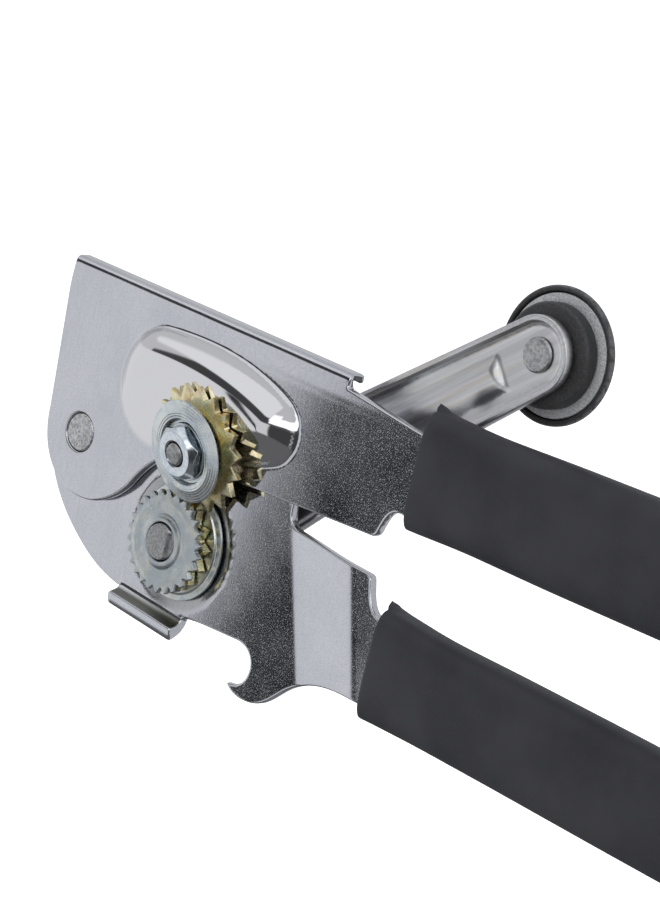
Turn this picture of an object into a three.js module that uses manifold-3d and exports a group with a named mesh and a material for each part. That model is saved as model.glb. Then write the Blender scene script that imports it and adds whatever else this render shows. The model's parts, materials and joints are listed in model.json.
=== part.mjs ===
// Crank-driven can opener: two plate handles joined by a pivot, a cutter assembly
// on the upper handle, and a feed wheel with its crank on the lower handle.
//
// Millimetres. +X runs towards the grips, +Z from the feed wheel to the cutter
// wheel, and the working side faces -Y. The origin is the centre of the
// spindle's front end face.
//
// Shapes are drawn in a flat frame (x, up, front) that one group turns into the
// object's frame: up becomes +Z and front becomes -Y. A "depth" is a distance
// behind the spindle's end face, so depth grows towards +Y.

import * as THREE from 'three';
import { mergeVertices } from 'three/addons/utils/BufferGeometryUtils.js';
import Module from 'manifold-3d';

const wasm = await Module();
wasm.setup();

// ---- driving dimensions -------------------------------------------------

const GAP = 0.3;               // free space between touching pieces
const SHEET = 2.0;             // plate thickness
const UPPER_FRONT = 4.4;       // depth of the upper plate's front face
const LOWER_FRONT = UPPER_FRONT + SHEET + GAP;
const PLATE_OVER = 15;         // how far cutting tools run past a plate

const PIVOT = [-35.2, 13.0];
const PIVOT_R = 4.2;

const TOP_EDGE = 48.9;         // top of the upper plate's turned-back flange
const TOP_TURN = THREE.MathUtils.degToRad(89);   // square to that edge, which falls 1 degree
const FLANGE_END = 37.4;       // where that flange stops
const FLANGE_BEND_R = 1.5;

const FEED_TEETH = 26;
const FEED_TIP_R = 11.1;
const FEED_ROOT_R = 9.8;
const FEED_FRONT = 1.0;
const FEED_BACK = 2.5;
const SPINDLE_R = 3.9;
const DISH_R = 14.0;           // shallow dish in the lower plate round the feed wheel
const DISH_DEPTH = 0.7;

const CUTTER_DISTANCE = 21.6;  // from the spindle's axis to the cutter wheel's rim centre
const CUTTER_LEAN = THREE.MathUtils.degToRad(10.6);
const CUTTER_TILT = THREE.MathUtils.degToRad(14);
const CUTTER_DEPTH = -2.5;     // depth of the cutter wheel's rim centre
const CUTTER_R = 11.0;

const CUTTER_GEAR = { teeth: 18, root: 11.4, tip: 13.8, rootHalf: 1.4, tipHalf: 0.35 };
const DRIVE_GEAR = { teeth: 15, root: 8.6, tip: 10.8, rootHalf: 1.3, tipHalf: 0.35 };

const BOSS_END = { x: -13.2, up: 29.9, r: 13.2 };
const BOSS_MIDDLE = { x: 5.0, up: 31.0, r: 12.0 };
const BOSS_NOSE = { x: 20.4, up: 31.3, r: 7.8 };
const BOSS_POST = { x: 4.0, up: 23.0, r: 11.0 };   // round the cutter post
const PAD_OFFSET = 4.9;        // from the cutter wheel's rim plane back to the boss pad

const JOGGLE_TURN = THREE.MathUtils.degToRad(19);
const JOGGLE_START = 35.2;
const JOGGLE_END = 48.5;

const GRIP_MOUTH = 62.1;
const GRIP_LENGTH = 112;
const TANG_END = 150;
const GRIP_THICKNESS = 11.6;

const KNOB = [75.2, 63.8];
const ARM_ELBOW = [32.0, 29.7];
const ARM_HUB_R = 10.5;
const ARM_ELBOW_R = 9.7;
const ARM_END_R = 7.8;
const ARM_FRONT = 13.2;
const ARM_SHEET = 1.4;
const ARM_RIM = 1.5;           // how far the arm's rim stands in front of its web
const COLLAR_R = 10.4;
const KNOB_R = 13.7;
const KNOB_FRONT = ARM_FRONT + ARM_SHEET + GAP;
const COLLAR_LENGTH = 3.2;

// ---- finishes -----------------------------------------------------------

const finish = (color, roughness, metalness) =>
  new THREE.MeshStandardMaterial({ color, roughness, metalness });

const nickel = () => finish(0xb4b5ba, 0.3, 1.0);
const zinc = () => finish(0xc3c9cc, 0.35, 1.0);
const yellowZinc = () => finish(0xb99a4c, 0.38, 1.0);
const dullSteel = () => finish(0x9a9a98, 0.5, 1.0);
const vinyl = () => finish(0x36373a, 0.62, 0.0);
const blackPlastic = () => finish(0x2f2f32, 0.55, 0.0);

// ---- solids -------------------------------------------------------------

function closed(geometry) {
  geometry.deleteAttribute('normal');
  geometry.deleteAttribute('uv');
  const merged = mergeVertices(geometry, 1e-4);
  const kept = [];
  const index = merged.index.array;
  for (let i = 0; i < index.length; i += 3) {
    const [a, b, c] = [index[i], index[i + 1], index[i + 2]];
    if (a !== b && b !== c && c !== a) kept.push(a, b, c);
  }
  merged.setIndex(kept);
  return merged;
}

function solid(geometry) {
  const shell = closed(geometry);
  return new wasm.Manifold(new wasm.Mesh({
    numProp: 3,
    vertProperties: new Float32Array(shell.attributes.position.array),
    triVerts: new Uint32Array(shell.index.array),
  }));
}

function geometryOf(manifold) {
  const mesh = manifold.getMesh();
  const geometry = new THREE.BufferGeometry();
  geometry.setAttribute('position', new THREE.Float32BufferAttribute(mesh.vertProperties, 3));
  geometry.setIndex(Array.from(mesh.triVerts));
  return geometry;
}

const union = (...parts) => parts.reduce((whole, part) => whole.add(part));
const cutBy = (body, ...tools) => tools.reduce((rest, tool) => rest.subtract(tool), body);

// A flat outline, thick from one depth to another.
function slab(shape, front, back, curveSegments = 12) {
  const geometry = new THREE.ExtrudeGeometry(shape, {
    depth: back - front,
    bevelEnabled: false,
    curveSegments,
  });
  geometry.translate(0, 0, -back);
  return geometry;
}

// A turned piece on the flat frame's front axis, from [radius, depth] pairs.
function turned(profile, segments = 32) {
  let area = 0;
  profile.forEach(([r, depth], i) => {
    const [nextR, nextDepth] = profile[(i + 1) % profile.length];
    area += r * nextDepth - nextR * depth;
  });
  const loop = area > 0 ? [...profile].reverse() : [...profile];
  const before = (i) => loop[(i + loop.length - 1) % loop.length];
  const onAxis = loop.findIndex(([r], i) => r === 0 && before(i)[0] === 0);
  const start = Math.max(onAxis, 0);
  const ordered = [...loop.slice(start), ...loop.slice(0, start)];
  if (onAxis < 0) ordered.push(ordered[0]);
  const points = ordered.map(([r, depth]) => new THREE.Vector2(r, -depth));
  const geometry = new THREE.LatheGeometry(points, segments);
  geometry.rotateX(Math.PI / 2);
  return geometry;
}

const disc = (r, front, back, segments = 32) =>
  turned([[0, front], [r, front], [r, back], [0, back]], segments);

const ring = (inner, outer, front, back, segments = 32) =>
  turned([[inner, front], [outer, front], [outer, back], [inner, back]], segments);

function shapeOf(points) {
  return new THREE.Shape(points.map(([x, up]) => new THREE.Vector2(x, up)));
}

// The outline round two circles and their common tangents.
function barPoints(a, b, steps) {
  const heading = Math.atan2(b.up - a.up, b.x - a.x);
  const reach = Math.hypot(b.x - a.x, b.up - a.up);
  const open = Math.acos((a.r - b.r) / reach);
  const points = [];
  const sweep = (c, from, to) => {
    for (let i = 0; i <= steps; i += 1) {
      const turn = from + ((to - from) * i) / steps;
      points.push([c.x + c.r * Math.cos(turn), c.up + c.r * Math.sin(turn)]);
    }
  };
  sweep(a, heading + open, heading - open + 2 * Math.PI);
  sweep(b, heading - open, heading + open);
  return points;
}

const circle = ([x, up], r) => ({ x, up, r });

// Rings of equal point counts, joined into one skin and closed with flat fans.
function loft(rings) {
  const count = rings[0].length;
  const positions = rings.flat().flat();
  const index = [];
  for (let level = 0; level + 1 < rings.length; level += 1) {
    for (let i = 0; i < count; i += 1) {
      const a = level * count + i;
      const b = level * count + ((i + 1) % count);
      index.push(a, b, b + count, a, b + count, a + count);
    }
  }
  const cap = (level, flip) => {
    const hub = positions.length / 3;
    const centre = [0, 1, 2].map((axis) =>
      rings[level].reduce((sum, point) => sum + point[axis], 0) / count);
    positions.push(...centre);
    for (let i = 0; i < count; i += 1) {
      const a = level * count + i;
      const b = level * count + ((i + 1) % count);
      index.push(...(flip ? [hub, b, a] : [hub, a, b]));
    }
  };
  cap(0, true);
  cap(rings.length - 1, false);
  const geometry = new THREE.BufferGeometry();
  geometry.setAttribute('position', new THREE.Float32BufferAttribute(positions, 3));
  geometry.setIndex(index);
  return geometry;
}

function toothedShape({ teeth, root, tip, rootHalf, tipHalf }, phase = 0) {
  const points = [];
  for (let i = 0; i < teeth; i += 1) {
    const centre = phase + (2 * Math.PI * i) / teeth;
    const corners = [[root, -rootHalf], [tip, -tipHalf], [tip, tipHalf], [root, rootHalf]];
    for (const [r, along] of corners) {
      const turn = centre + along / r;
      points.push([r * Math.cos(turn), r * Math.sin(turn)]);
    }
  }
  return shapeOf(points);
}

function holed(shape, r) {
  const hole = new THREE.Path();
  hole.absarc(0, 0, r, 0, 2 * Math.PI, true);
  shape.holes.push(hole);
  return shape;
}

// A sheet whose cross-section is drawn in (along, depth) and which runs on
// endlessly across: "along" points at the given turn from +X in the plate's plane.
function bentSheet(section, turn) {
  const shape = new THREE.Shape(section.map(([along, depth]) => new THREE.Vector2(along, -depth)));
  const geometry = new THREE.ExtrudeGeometry(shape, { depth: 500, bevelEnabled: false });
  geometry.translate(0, 0, -250);
  const along = new THREE.Vector3(Math.cos(turn), Math.sin(turn), 0);
  const front = new THREE.Vector3(0, 0, 1);
  const across = new THREE.Vector3().crossVectors(along, front);
  geometry.applyMatrix4(new THREE.Matrix4().makeBasis(along, front, across));
  return solid(geometry);
}

const through = (shape, curveSegments = 12) =>
  solid(slab(shape, -PLATE_OVER, 2 * PLATE_OVER, curveSegments));

function at(geometry, [x, up]) {
  geometry.translate(x, up, 0);
  return geometry;
}

// ---- the cutter's place --------------------------------------------------

const towardsSpindle = [-Math.sin(CUTTER_LEAN), -Math.cos(CUTTER_LEAN)];
const cutterCentre = towardsSpindle.map((part) => -part * CUTTER_DISTANCE);

// Turns the flat frame's front axis into the cutter's spin axis and puts the
// rim plane's centre in its place, so depths of cutter pieces count from it.
function cutterPlacement() {
  const [ax, aup] = towardsSpindle;
  const sin = Math.sin(CUTTER_TILT);
  const cos = Math.cos(CUTTER_TILT);
  const axis = new THREE.Vector3(ax * sin, aup * sin, cos);
  const away = new THREE.Vector3(-ax * cos, -aup * cos, sin);
  const side = new THREE.Vector3().crossVectors(away, axis);
  const place = new THREE.Matrix4().makeBasis(side, away, axis);
  place.setPosition(cutterCentre[0], cutterCentre[1], -CUTTER_DEPTH);
  return place;
}

// Depth of the plane that faces the cutter gear, at a point of the plate.
function padDepth(x, up, offset) {
  const sin = Math.sin(CUTTER_TILT);
  const depth = CUTTER_DEPTH + offset * Math.cos(CUTTER_TILT);
  const dx = x - (cutterCentre[0] - towardsSpindle[0] * sin * offset);
  const dup = up - (cutterCentre[1] - towardsSpindle[1] * sin * offset);
  return depth + (dx * towardsSpindle[0] + dup * towardsSpindle[1]) * Math.tan(CUTTER_TILT);
}

// ---- plates ---------------------------------------------------------------

// The drawn boss: inset and rise of each ring, from the plate's face to the pad.
const BOSS_RINGS = [[0, 0], [0.5, 0.1], [1.5, 0.38], [2.8, 0.76], [3.9, 0.94], [5.2, 1]];

function bossSolid(extraInset, shift, foot) {
  const swelling = (a, b) => solid(loft(BOSS_RINGS.map(([inset, rise], level) => {
    const shrink = (c) => ({ ...c, r: c.r - inset - extraInset });
    return barPoints(shrink(a), shrink(b), 9).map(([x, up]) => {
      const top = Math.min(padDepth(x, up, PAD_OFFSET), UPPER_FRONT - 0.2);
      const depth = UPPER_FRONT + (top - UPPER_FRONT) * rise;
      return [x, up, -(level === 0 ? foot : depth + shift)];
    });
  })));
  return union(
    swelling(BOSS_END, BOSS_MIDDLE), swelling(BOSS_MIDDLE, BOSS_NOSE),
    swelling(BOSS_MIDDLE, BOSS_POST),
  );
}

function flangeSection() {
  const bendUp = TOP_EDGE - FLANGE_BEND_R;
  const bendDepth = UPPER_FRONT + 0.55 + FLANGE_BEND_R;
  const arc = [0, 30, 60, 90].map((degrees) => {
    const turn = THREE.MathUtils.degToRad(degrees);
    return [bendUp + FLANGE_BEND_R * Math.sin(turn), bendDepth - FLANGE_BEND_R * Math.cos(turn)];
  });
  const edgeDepth = bendDepth + 2.6;
  const inside = TOP_EDGE - SHEET;
  return [
    [-60, UPPER_FRONT], [43, UPPER_FRONT], ...arc,
    [TOP_EDGE, edgeDepth], [inside, edgeDepth], [inside, bendDepth],
    [43, UPPER_FRONT + SHEET], [-60, UPPER_FRONT + SHEET],
  ];
}

function upperPlate() {
  const outline = new THREE.Shape();
  outline.moveTo(-49.6, 60);
  outline.lineTo(-46.6, 16);
  outline.bezierCurveTo(-46.9, 6, -40.5, -0.6, -31.5, -0.6);
  outline.bezierCurveTo(-25.5, -0.6, -21, 2.2, -17.2, 6.6);
  outline.bezierCurveTo(-13.5, 12.5, -8.5, 18.2, 3, 18.2);
  outline.lineTo(14.6, 17.9);
  outline.lineTo(52.6, 19.6);
  outline.bezierCurveTo(54.3, 19.7, 54.2, 21.6, 54.8, 22.8);
  outline.bezierCurveTo(55.6, 25.4, 57.2, 26.5, 59.6, 26.0);
  outline.lineTo(TANG_END, 29);
  outline.lineTo(TANG_END, 41);
  outline.lineTo(59.6, 42.6);
  outline.lineTo(FLANGE_END, 45.3);
  outline.lineTo(FLANGE_END, 60);
  const blank = bentSheet(flangeSection(), TOP_TURN);
  const raised = blank.add(bossSolid(0, 0, UPPER_FRONT + 0.8));
  const drawn = raised.subtract(bossSolid(0.8, SHEET, UPPER_FRONT + SHEET + 1));
  const trimmed = through(outline, 10).intersect(drawn);
  const postHole = disc(2.4 + GAP, 3, 10, 24).applyMatrix4(cutterPlacement());
  const pivotHole = at(disc(PIVOT_R + GAP / 2, 0, 10), PIVOT);
  return geometryOf(cutBy(trimmed, solid(postHole), solid(pivotHole)));
}

function joggleSection() {
  const far = 260;
  const back = (depth) => depth + SHEET;
  return [
    [-90, LOWER_FRONT], [JOGGLE_START, LOWER_FRONT], [JOGGLE_END, UPPER_FRONT], [far, UPPER_FRONT],
    [far, back(UPPER_FRONT)], [JOGGLE_END, back(UPPER_FRONT)],
    [JOGGLE_START, back(LOWER_FRONT)], [-90, back(LOWER_FRONT)],
  ];
}

// The guard below the feed wheel: the plate's margin bent forward into a lip.
const GUARD = { left: -15.0, right: 5.4, lip: 3.4, turn: THREE.MathUtils.degToRad(86.5) };

function guard() {
  const outside = [
    [-14.2, LOWER_FRONT + SHEET], [-15.8, LOWER_FRONT + SHEET],
    [-17.7, LOWER_FRONT + 1.1], [-18.9, LOWER_FRONT - 0.8], [-19.5, GUARD.lip],
  ];
  const inside = [
    [-17.4, GUARD.lip], [-17.0, LOWER_FRONT - 1.6], [-16.2, LOWER_FRONT - 0.4],
    [-15.1, LOWER_FRONT], [-14.2, LOWER_FRONT],
  ];
  const sheet = bentSheet([...inside.reverse(), ...outside.reverse()], GUARD.turn);
  const width = new THREE.Shape();
  width.moveTo(GUARD.left, -30);
  width.lineTo(GUARD.right, -30);
  width.lineTo(GUARD.right, -10);
  width.lineTo(GUARD.left, -10);
  return through(width).intersect(sheet);
}

function lowerPlate() {
  const outline = new THREE.Shape();
  outline.moveTo(-47.0, 14);
  outline.bezierCurveTo(-47.2, 4, -40.5, -3.6, -33.5, -8.4);
  outline.bezierCurveTo(-28.5, -11.8, -23.5, -14.6, -16.0, -15.6);
  outline.lineTo(5.8, -15.5);
  outline.bezierCurveTo(9, -14.6, 15, -14.6, 21.5, -14.2);
  outline.bezierCurveTo(25.4, -14.0, 27.4, -16.4, 27.2, -19.0);
  outline.bezierCurveTo(27.0, -21.6, 25.2, -23.4, 21.8, -23.7);
  outline.bezierCurveTo(23.4, -25.8, 28.6, -26.2, 32.4, -24.2);
  outline.bezierCurveTo(36.0, -22.0, 37.5, -18.6, 42.6, -16.4);
  outline.bezierCurveTo(46, -14.6, 52, -13.2, 58.4, -13.4);
  outline.lineTo(TANG_END, -12.2);
  outline.lineTo(TANG_END, 1.6);
  outline.lineTo(59.6, 4.6);
  outline.bezierCurveTo(56.6, 5.6, 56.2, 8.4, 55.4, 11.0);
  outline.bezierCurveTo(55.2, 11.9, 54.6, 12.2, 53.6, 12.2);
  outline.lineTo(31.8, 13.2);
  outline.bezierCurveTo(29.8, 13.6, 29.0, 14.8, 28.9, 16.6);
  outline.lineTo(28.9, 21);
  outline.lineTo(-28, 24);
  outline.bezierCurveTo(-38, 26, -46.8, 22, -47.0, 14);
  const sheet = through(outline, 10).intersect(bentSheet(joggleSection(), JOGGLE_TURN));
  const back = LOWER_FRONT + SHEET;
  const dishBack = turned([
    [0, back - 1], [DISH_R + 1, back - 1], [DISH_R + 1, back],
    [DISH_R, back + DISH_DEPTH], [0, back + DISH_DEPTH],
  ], 48);
  const dishFront = turned([
    [0, LOWER_FRONT - 1], [DISH_R + 0.4, LOWER_FRONT - 1], [DISH_R + 0.4, LOWER_FRONT],
    [DISH_R - 0.4, LOWER_FRONT + DISH_DEPTH], [0, LOWER_FRONT + DISH_DEPTH],
  ], 48);
  const dished = cutBy(union(sheet, solid(dishBack)), solid(dishFront));
  const spindleHole = disc(6.2, 0, 20);
  const pivotHole = at(disc(3.0 + GAP, 0, 20, 24), PIVOT);
  return geometryOf(cutBy(union(dished, guard()), solid(spindleHole), solid(pivotHole)));
}

// ---- grips ------------------------------------------------------------------

// One oval section of a grip: rounder near the end, squarer at the mouth.
function gripSection(x, low, high, thickness, squareness) {
  const points = [];
  const steps = 28;
  const centreUp = (low + high) / 2;
  const centreDepth = UPPER_FRONT + SHEET / 2;
  const bow = (value) => Math.sign(value) * Math.abs(value) ** (2 / squareness);
  for (let i = 0; i < steps; i += 1) {
    const turn = (2 * Math.PI * i) / steps;
    const up = centreUp + (bow(Math.sin(turn)) * (high - low)) / 2;
    points.push([x, up, -centreDepth + (bow(Math.cos(turn)) * thickness) / 2]);
  }
  return points.reverse();
}

function grip(stations, tangOutline) {
  const rings = stations.map(([along, low, high, thin, squareness]) =>
    gripSection(GRIP_MOUTH + along, low, high, GRIP_THICKNESS - thin, squareness));
  const room = solid(slab(shapeOf(tangOutline), UPPER_FRONT - GAP, UPPER_FRONT + SHEET + GAP));
  return geometryOf(solid(loft(rings)).subtract(room));
}

// [distance from the mouth, low edge, high edge, thinning, squareness]
const UPPER_GRIP = [
  [0, 24.0, 48.4, 2.0, 4], [3, 24.0, 48.2, 1.4, 3.4], [14, 24.4, 47.8, 0.4, 2.8],
  [35, 24.3, 48.4, 0, 2.6], [62, 24.6, 48.8, 0, 2.6], [88, 25.2, 48.4, 0.6, 2.6],
  [101, 26.2, 47.2, 1.6, 2.5], [108, 28.4, 44.8, 3.6, 2.3], [111, 31.2, 41.8, 6.4, 2.1],
  [GRIP_LENGTH, 33.8, 39.2, 9.4, 2],
];
const LOWER_GRIP = [
  [0, -15.4, 7.8, 2.0, 4], [3, -15.4, 7.5, 1.4, 3.4], [14, -15.4, 6.6, 0.4, 2.8],
  [35, -15.8, 6.4, 0, 2.6], [62, -16.4, 5.8, 0, 2.6], [88, -16.9, 5.0, 0.6, 2.6],
  [101, -16.4, 3.8, 1.6, 2.5], [108, -14.5, 1.6, 3.6, 2.3], [111, -11.8, -1.2, 6.4, 2.1],
  [GRIP_LENGTH, -9.2, -3.8, 9.4, 2],
];

function tangRoom(lowStart, lowEnd, highStart, highEnd) {
  const start = GRIP_MOUTH - 2;
  const end = TANG_END + GAP;
  return [
    [start, lowStart - GAP], [end, lowEnd - GAP], [end, highEnd + GAP], [start, highStart + GAP],
  ];
}

// ---- the object -------------------------------------------------------------

const opener = new THREE.Group();
opener.rotation.x = Math.PI / 2;

const cutterGroup = new THREE.Group();
cutterPlacement().decompose(cutterGroup.position, cutterGroup.quaternion, cutterGroup.scale);
opener.add(cutterGroup);

function place(name, geometry, material, [x, up] = [0, 0], parent = opener) {
  const mesh = new THREE.Mesh(closed(geometry), material);
  mesh.name = name;
  mesh.position.set(x, up, 0);
  parent.add(mesh);
}

// Lower handle: plate, grip, pivot and the spindle's bearing.
const LOWER_BACK = LOWER_FRONT + SHEET;
place('lower_plate', lowerPlate(), nickel());
place('lower_grip', grip(LOWER_GRIP, tangRoom(-13.4, -12.2, 4.6, 1.6)), vinyl());
place('pivot_rivet', turned([
  [0, UPPER_FRONT], [PIVOT_R, UPPER_FRONT + 0.1], [PIVOT_R, LOWER_FRONT - GAP],
  [3.0, LOWER_FRONT - GAP], [3.0, LOWER_BACK + 1.4], [6.2, LOWER_BACK + 1.4],
  [5.7, LOWER_BACK + 2.0], [3.4, LOWER_BACK + 2.4], [0, LOWER_BACK + 2.5],
]), dullSteel(), PIVOT);
place('pivot_washer', ring(3.3, 7.0, LOWER_BACK + GAP, LOWER_BACK + 1.1), zinc(), PIVOT);
place('spindle_bushing', turned([
  [SPINDLE_R + GAP, LOWER_FRONT + 0.2], [5.9, LOWER_FRONT + 0.2], [5.9, 9.7], [8.5, 9.7],
  [8.5, 10.7], [6.4, 10.9], [6.4, 11.7], [SPINDLE_R + GAP, 11.7],
]), yellowZinc());

// Crank: spindle, feed wheel, drive gear, arm and knob post.
const spindleBody = solid(turned([
  [0, 0], [SPINDLE_R - 0.4, 0], [SPINDLE_R, 0.4], [SPINDLE_R, 12.9], [3.0, 12.9], [3.0, 14.9],
  [5.0, 14.9], [4.6, 15.8], [0, 16.3],
]));
const endFlat = new THREE.BoxGeometry(4, 12, 1.8).translate(2.3 + 2, 0, 0);
place('spindle', geometryOf(spindleBody.subtract(solid(endFlat))), dullSteel());

const feedTeeth = holed(toothedShape({
  teeth: FEED_TEETH, root: FEED_ROOT_R, tip: FEED_TIP_R, rootHalf: 1.05, tipHalf: 0.22,
}), SPINDLE_R + GAP);
const feedHub = turned([
  [SPINDLE_R + GAP, 0.45], [5.1, 0.45], [6.0, FEED_FRONT], [6.0, 1.6], [SPINDLE_R + GAP, 1.6],
]);
const feedBlank = solid(slab(feedTeeth, FEED_FRONT, FEED_BACK));
place('feed_wheel', geometryOf(union(feedBlank, solid(feedHub))), zinc());

// The two gears mesh along the line between their axes: there a drive gear
// tooth stands in a gap of the cutter gear.
const meshTurn = Math.PI / 2 - CUTTER_LEAN;
const driveShape = holed(toothedShape(DRIVE_GEAR, meshTurn), SPINDLE_R + GAP);
place('drive_gear', slab(driveShape, FEED_BACK + GAP, 5.3), yellowZinc());
place('feed_flange', turned([
  [SPINDLE_R + GAP, 5.6], [11.0, 5.6], [11.4, 5.95], [12.7, 6.05], [12.7, 6.6],
  [SPINDLE_R + GAP, 6.6],
], 40), zinc());
place('crank_washer', ring(SPINDLE_R + GAP, 7.4, 12.0, 12.9), zinc());

function crankArm() {
  const spine = [circle([0, 0], ARM_HUB_R), circle(ARM_ELBOW, ARM_ELBOW_R), circle(KNOB, ARM_END_R)];
  const level = (inset, front, back) => {
    const [hub, elbow, end] = spine.map((c) => ({ ...c, r: c.r - inset }));
    const bars = [[hub, elbow], [elbow, end]];
    return union(...bars.map(([a, b]) => solid(slab(shapeOf(barPoints(a, b, 14)), front, back))));
  };
  const front = ARM_FRONT - ARM_RIM;
  const back = ARM_FRONT + ARM_SHEET;
  const steps = [[1.2, 0], [0.55, 0.3], [0.15, 0.75], [0, 1.3]];
  const outside = union(...steps.map(([inset, drop]) => level(inset, front, back - drop)));
  const pocket = level(1.3, front - 1, ARM_FRONT);
  const heading = Math.atan2(KNOB[1] - ARM_ELBOW[1], KNOB[0] - ARM_ELBOW[0]);
  const length = Math.hypot(KNOB[0] - ARM_ELBOW[0], KNOB[1] - ARM_ELBOW[1]);
  const ribStart = -18;
  const ribEnd = length - 7.0;
  const section = (along, half, rise) => [
    [along, -half, -ARM_FRONT - 0.5], [along, half, -ARM_FRONT - 0.5],
    [along, half - 1.4, -ARM_FRONT + rise], [along, -half + 1.4, -ARM_FRONT + rise],
  ];
  const rib = loft([
    section(ribStart, 5.6, 0.1), section(ribStart + 6, 5.4, 1.0), section(ribEnd - 6, 3.9, 1.0),
    section(ribEnd, 3.6, 0.55),
  ]);
  rib.rotateZ(heading);
  at(rib, ARM_ELBOW);
  const hubHole = disc(3.3, 10, 20, 24);
  const postHole = at(disc(2.7, 10, 20, 24), KNOB);
  const channel = union(cutBy(outside, pocket), solid(rib));
  return geometryOf(cutBy(channel, solid(hubHole), solid(postHole)));
}
place('crank_arm', crankArm(), nickel());
place('knob_post', turned([
  [0, 12.3], [2.6, 12.3], [3.5, 12.6], [3.5, 12.9], [2.4, 12.9], [2.4, KNOB_FRONT + 6.9],
  [3.4, KNOB_FRONT + 6.9], [3.4, KNOB_FRONT + 7.9], [0, KNOB_FRONT + 7.9],
], 24), dullSteel(), KNOB);

// Knob: collar, backing disc and cap, which turn on the post.
const COLLAR_BACK = KNOB_FRONT + COLLAR_LENGTH;
const BACKING_BACK = COLLAR_BACK + GAP + 0.8;
const LIP_FRONT = COLLAR_BACK - 0.2;
place('knob_collar', turned([
  [2.7, KNOB_FRONT], [9.8, KNOB_FRONT], [COLLAR_R, KNOB_FRONT + 0.5],
  [COLLAR_R, COLLAR_BACK], [2.7, COLLAR_BACK],
], 40), blackPlastic(), KNOB);
place('knob_backing', ring(2.7, 12.2, COLLAR_BACK + GAP, BACKING_BACK, 40),
  finish(0xb0b0b4, 0.5, 0.6), KNOB);
place('knob_cap', turned([
  [3.8, BACKING_BACK + GAP], [12.5, BACKING_BACK + GAP], [12.5, LIP_FRONT + 0.2],
  [13.3, LIP_FRONT], [KNOB_R, LIP_FRONT + 0.4], [KNOB_R, LIP_FRONT + 1.3],
  [12.9, LIP_FRONT + 2.3], [11.2, LIP_FRONT + 4.0], [8.6, LIP_FRONT + 5.7],
  [5.0, LIP_FRONT + 7.0], [0, LIP_FRONT + 7.6], [0, LIP_FRONT + 5.6], [3.8, LIP_FRONT + 5.6],
], 40), blackPlastic(), KNOB);

// Upper handle: plate, grip and the cutter's fixed post and nut.
place('upper_plate', upperPlate(), nickel());
place('upper_grip', grip(UPPER_GRIP, tangRoom(26.0, 29, 42.6, 41)), vinyl());
const onCutter = (name, geometry, material) => place(name, geometry, material, [0, 0], cutterGroup);
onCutter('cutter_post', turned([
  [0, -3.0], [2.1, -3.0], [2.4, -2.7], [2.4, 7.15], [4.2, 7.15], [4.2, 7.9], [3.6, 8.1], [0, 8.1],
], 24), dullSteel());
function hexNut() {
  const across = new THREE.CylinderGeometry(6.3, 6.3, 2.4, 6).rotateX(Math.PI / 2);
  across.translate(0, 0, 1.5);
  const chamfer = turned([[0, -2.7], [4.8, -2.7], [6.5, -1.0], [6.5, -0.3], [0, -0.3]], 36);
  const bore = disc(2.4 + GAP, -5, 5, 24);
  return geometryOf(solid(across).intersect(solid(chamfer)).subtract(solid(bore)));
}
onCutter('cutter_nut', hexNut(), zinc());
onCutter('nut_washer', ring(2.7, 6.1, 0.0, 0.4), zinc());

// Cutter: wheel, gear and the sleeve that joins them, which turn on the post.
onCutter('cutter_sleeve', ring(2.7, 4.3, 0.8, 4.6), dullSteel());
onCutter('cutter_wheel', turned([
  [4.6, 0.7], [6.8, 0.7], [7.2, -0.5], [8.6, -0.55], [CUTTER_R - 0.1, 0.15], [CUTTER_R, 0.25],
  [CUTTER_R - 0.1, 0.35], [8.2, 1.9], [4.6, 1.9],
], 56), zinc());
const cutterTurn = -Math.PI / 2 + Math.PI / CUTTER_GEAR.teeth;
const cutterShape = holed(toothedShape(CUTTER_GEAR, cutterTurn), 4.6);
onCutter('cutter_gear', slab(cutterShape, 2.7, 4.6), yellowZinc());

export default opener;
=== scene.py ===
import json
import math

import bmesh
import bpy
import numpy as np
from mathutils import Matrix, Vector
from mathutils.geometry import delaunay_2d_cdt


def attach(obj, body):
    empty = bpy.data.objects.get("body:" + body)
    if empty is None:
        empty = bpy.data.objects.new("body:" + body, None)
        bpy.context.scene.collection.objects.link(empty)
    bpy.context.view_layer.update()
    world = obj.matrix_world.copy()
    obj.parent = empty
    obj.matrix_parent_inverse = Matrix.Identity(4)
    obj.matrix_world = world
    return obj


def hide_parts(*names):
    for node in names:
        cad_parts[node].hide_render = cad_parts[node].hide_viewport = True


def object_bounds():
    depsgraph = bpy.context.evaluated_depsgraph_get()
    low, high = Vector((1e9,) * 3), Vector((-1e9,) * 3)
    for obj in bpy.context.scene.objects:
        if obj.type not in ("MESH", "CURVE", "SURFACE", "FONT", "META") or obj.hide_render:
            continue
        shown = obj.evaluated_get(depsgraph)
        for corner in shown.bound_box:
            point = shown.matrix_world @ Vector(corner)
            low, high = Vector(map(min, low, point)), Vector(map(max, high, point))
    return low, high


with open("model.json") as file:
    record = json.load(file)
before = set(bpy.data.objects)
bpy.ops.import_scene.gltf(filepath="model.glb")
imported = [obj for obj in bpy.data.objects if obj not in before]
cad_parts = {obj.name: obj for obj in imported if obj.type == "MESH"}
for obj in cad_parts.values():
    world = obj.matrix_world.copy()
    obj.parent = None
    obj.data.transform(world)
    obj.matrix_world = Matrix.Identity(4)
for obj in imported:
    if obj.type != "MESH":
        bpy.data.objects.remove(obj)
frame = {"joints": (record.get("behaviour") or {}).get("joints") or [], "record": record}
cad_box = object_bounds()

MM = 0.001
record = frame["record"]
joints = {j["name"]: j for j in frame["joints"]}
body_of = {n: b for b, ns in record["behaviour"]["bodies"].items() for n in ns}

# ---- placement ----
# Pieces are drawn in millimetres as (x, up, front): up becomes +Z, front -Y.

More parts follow.
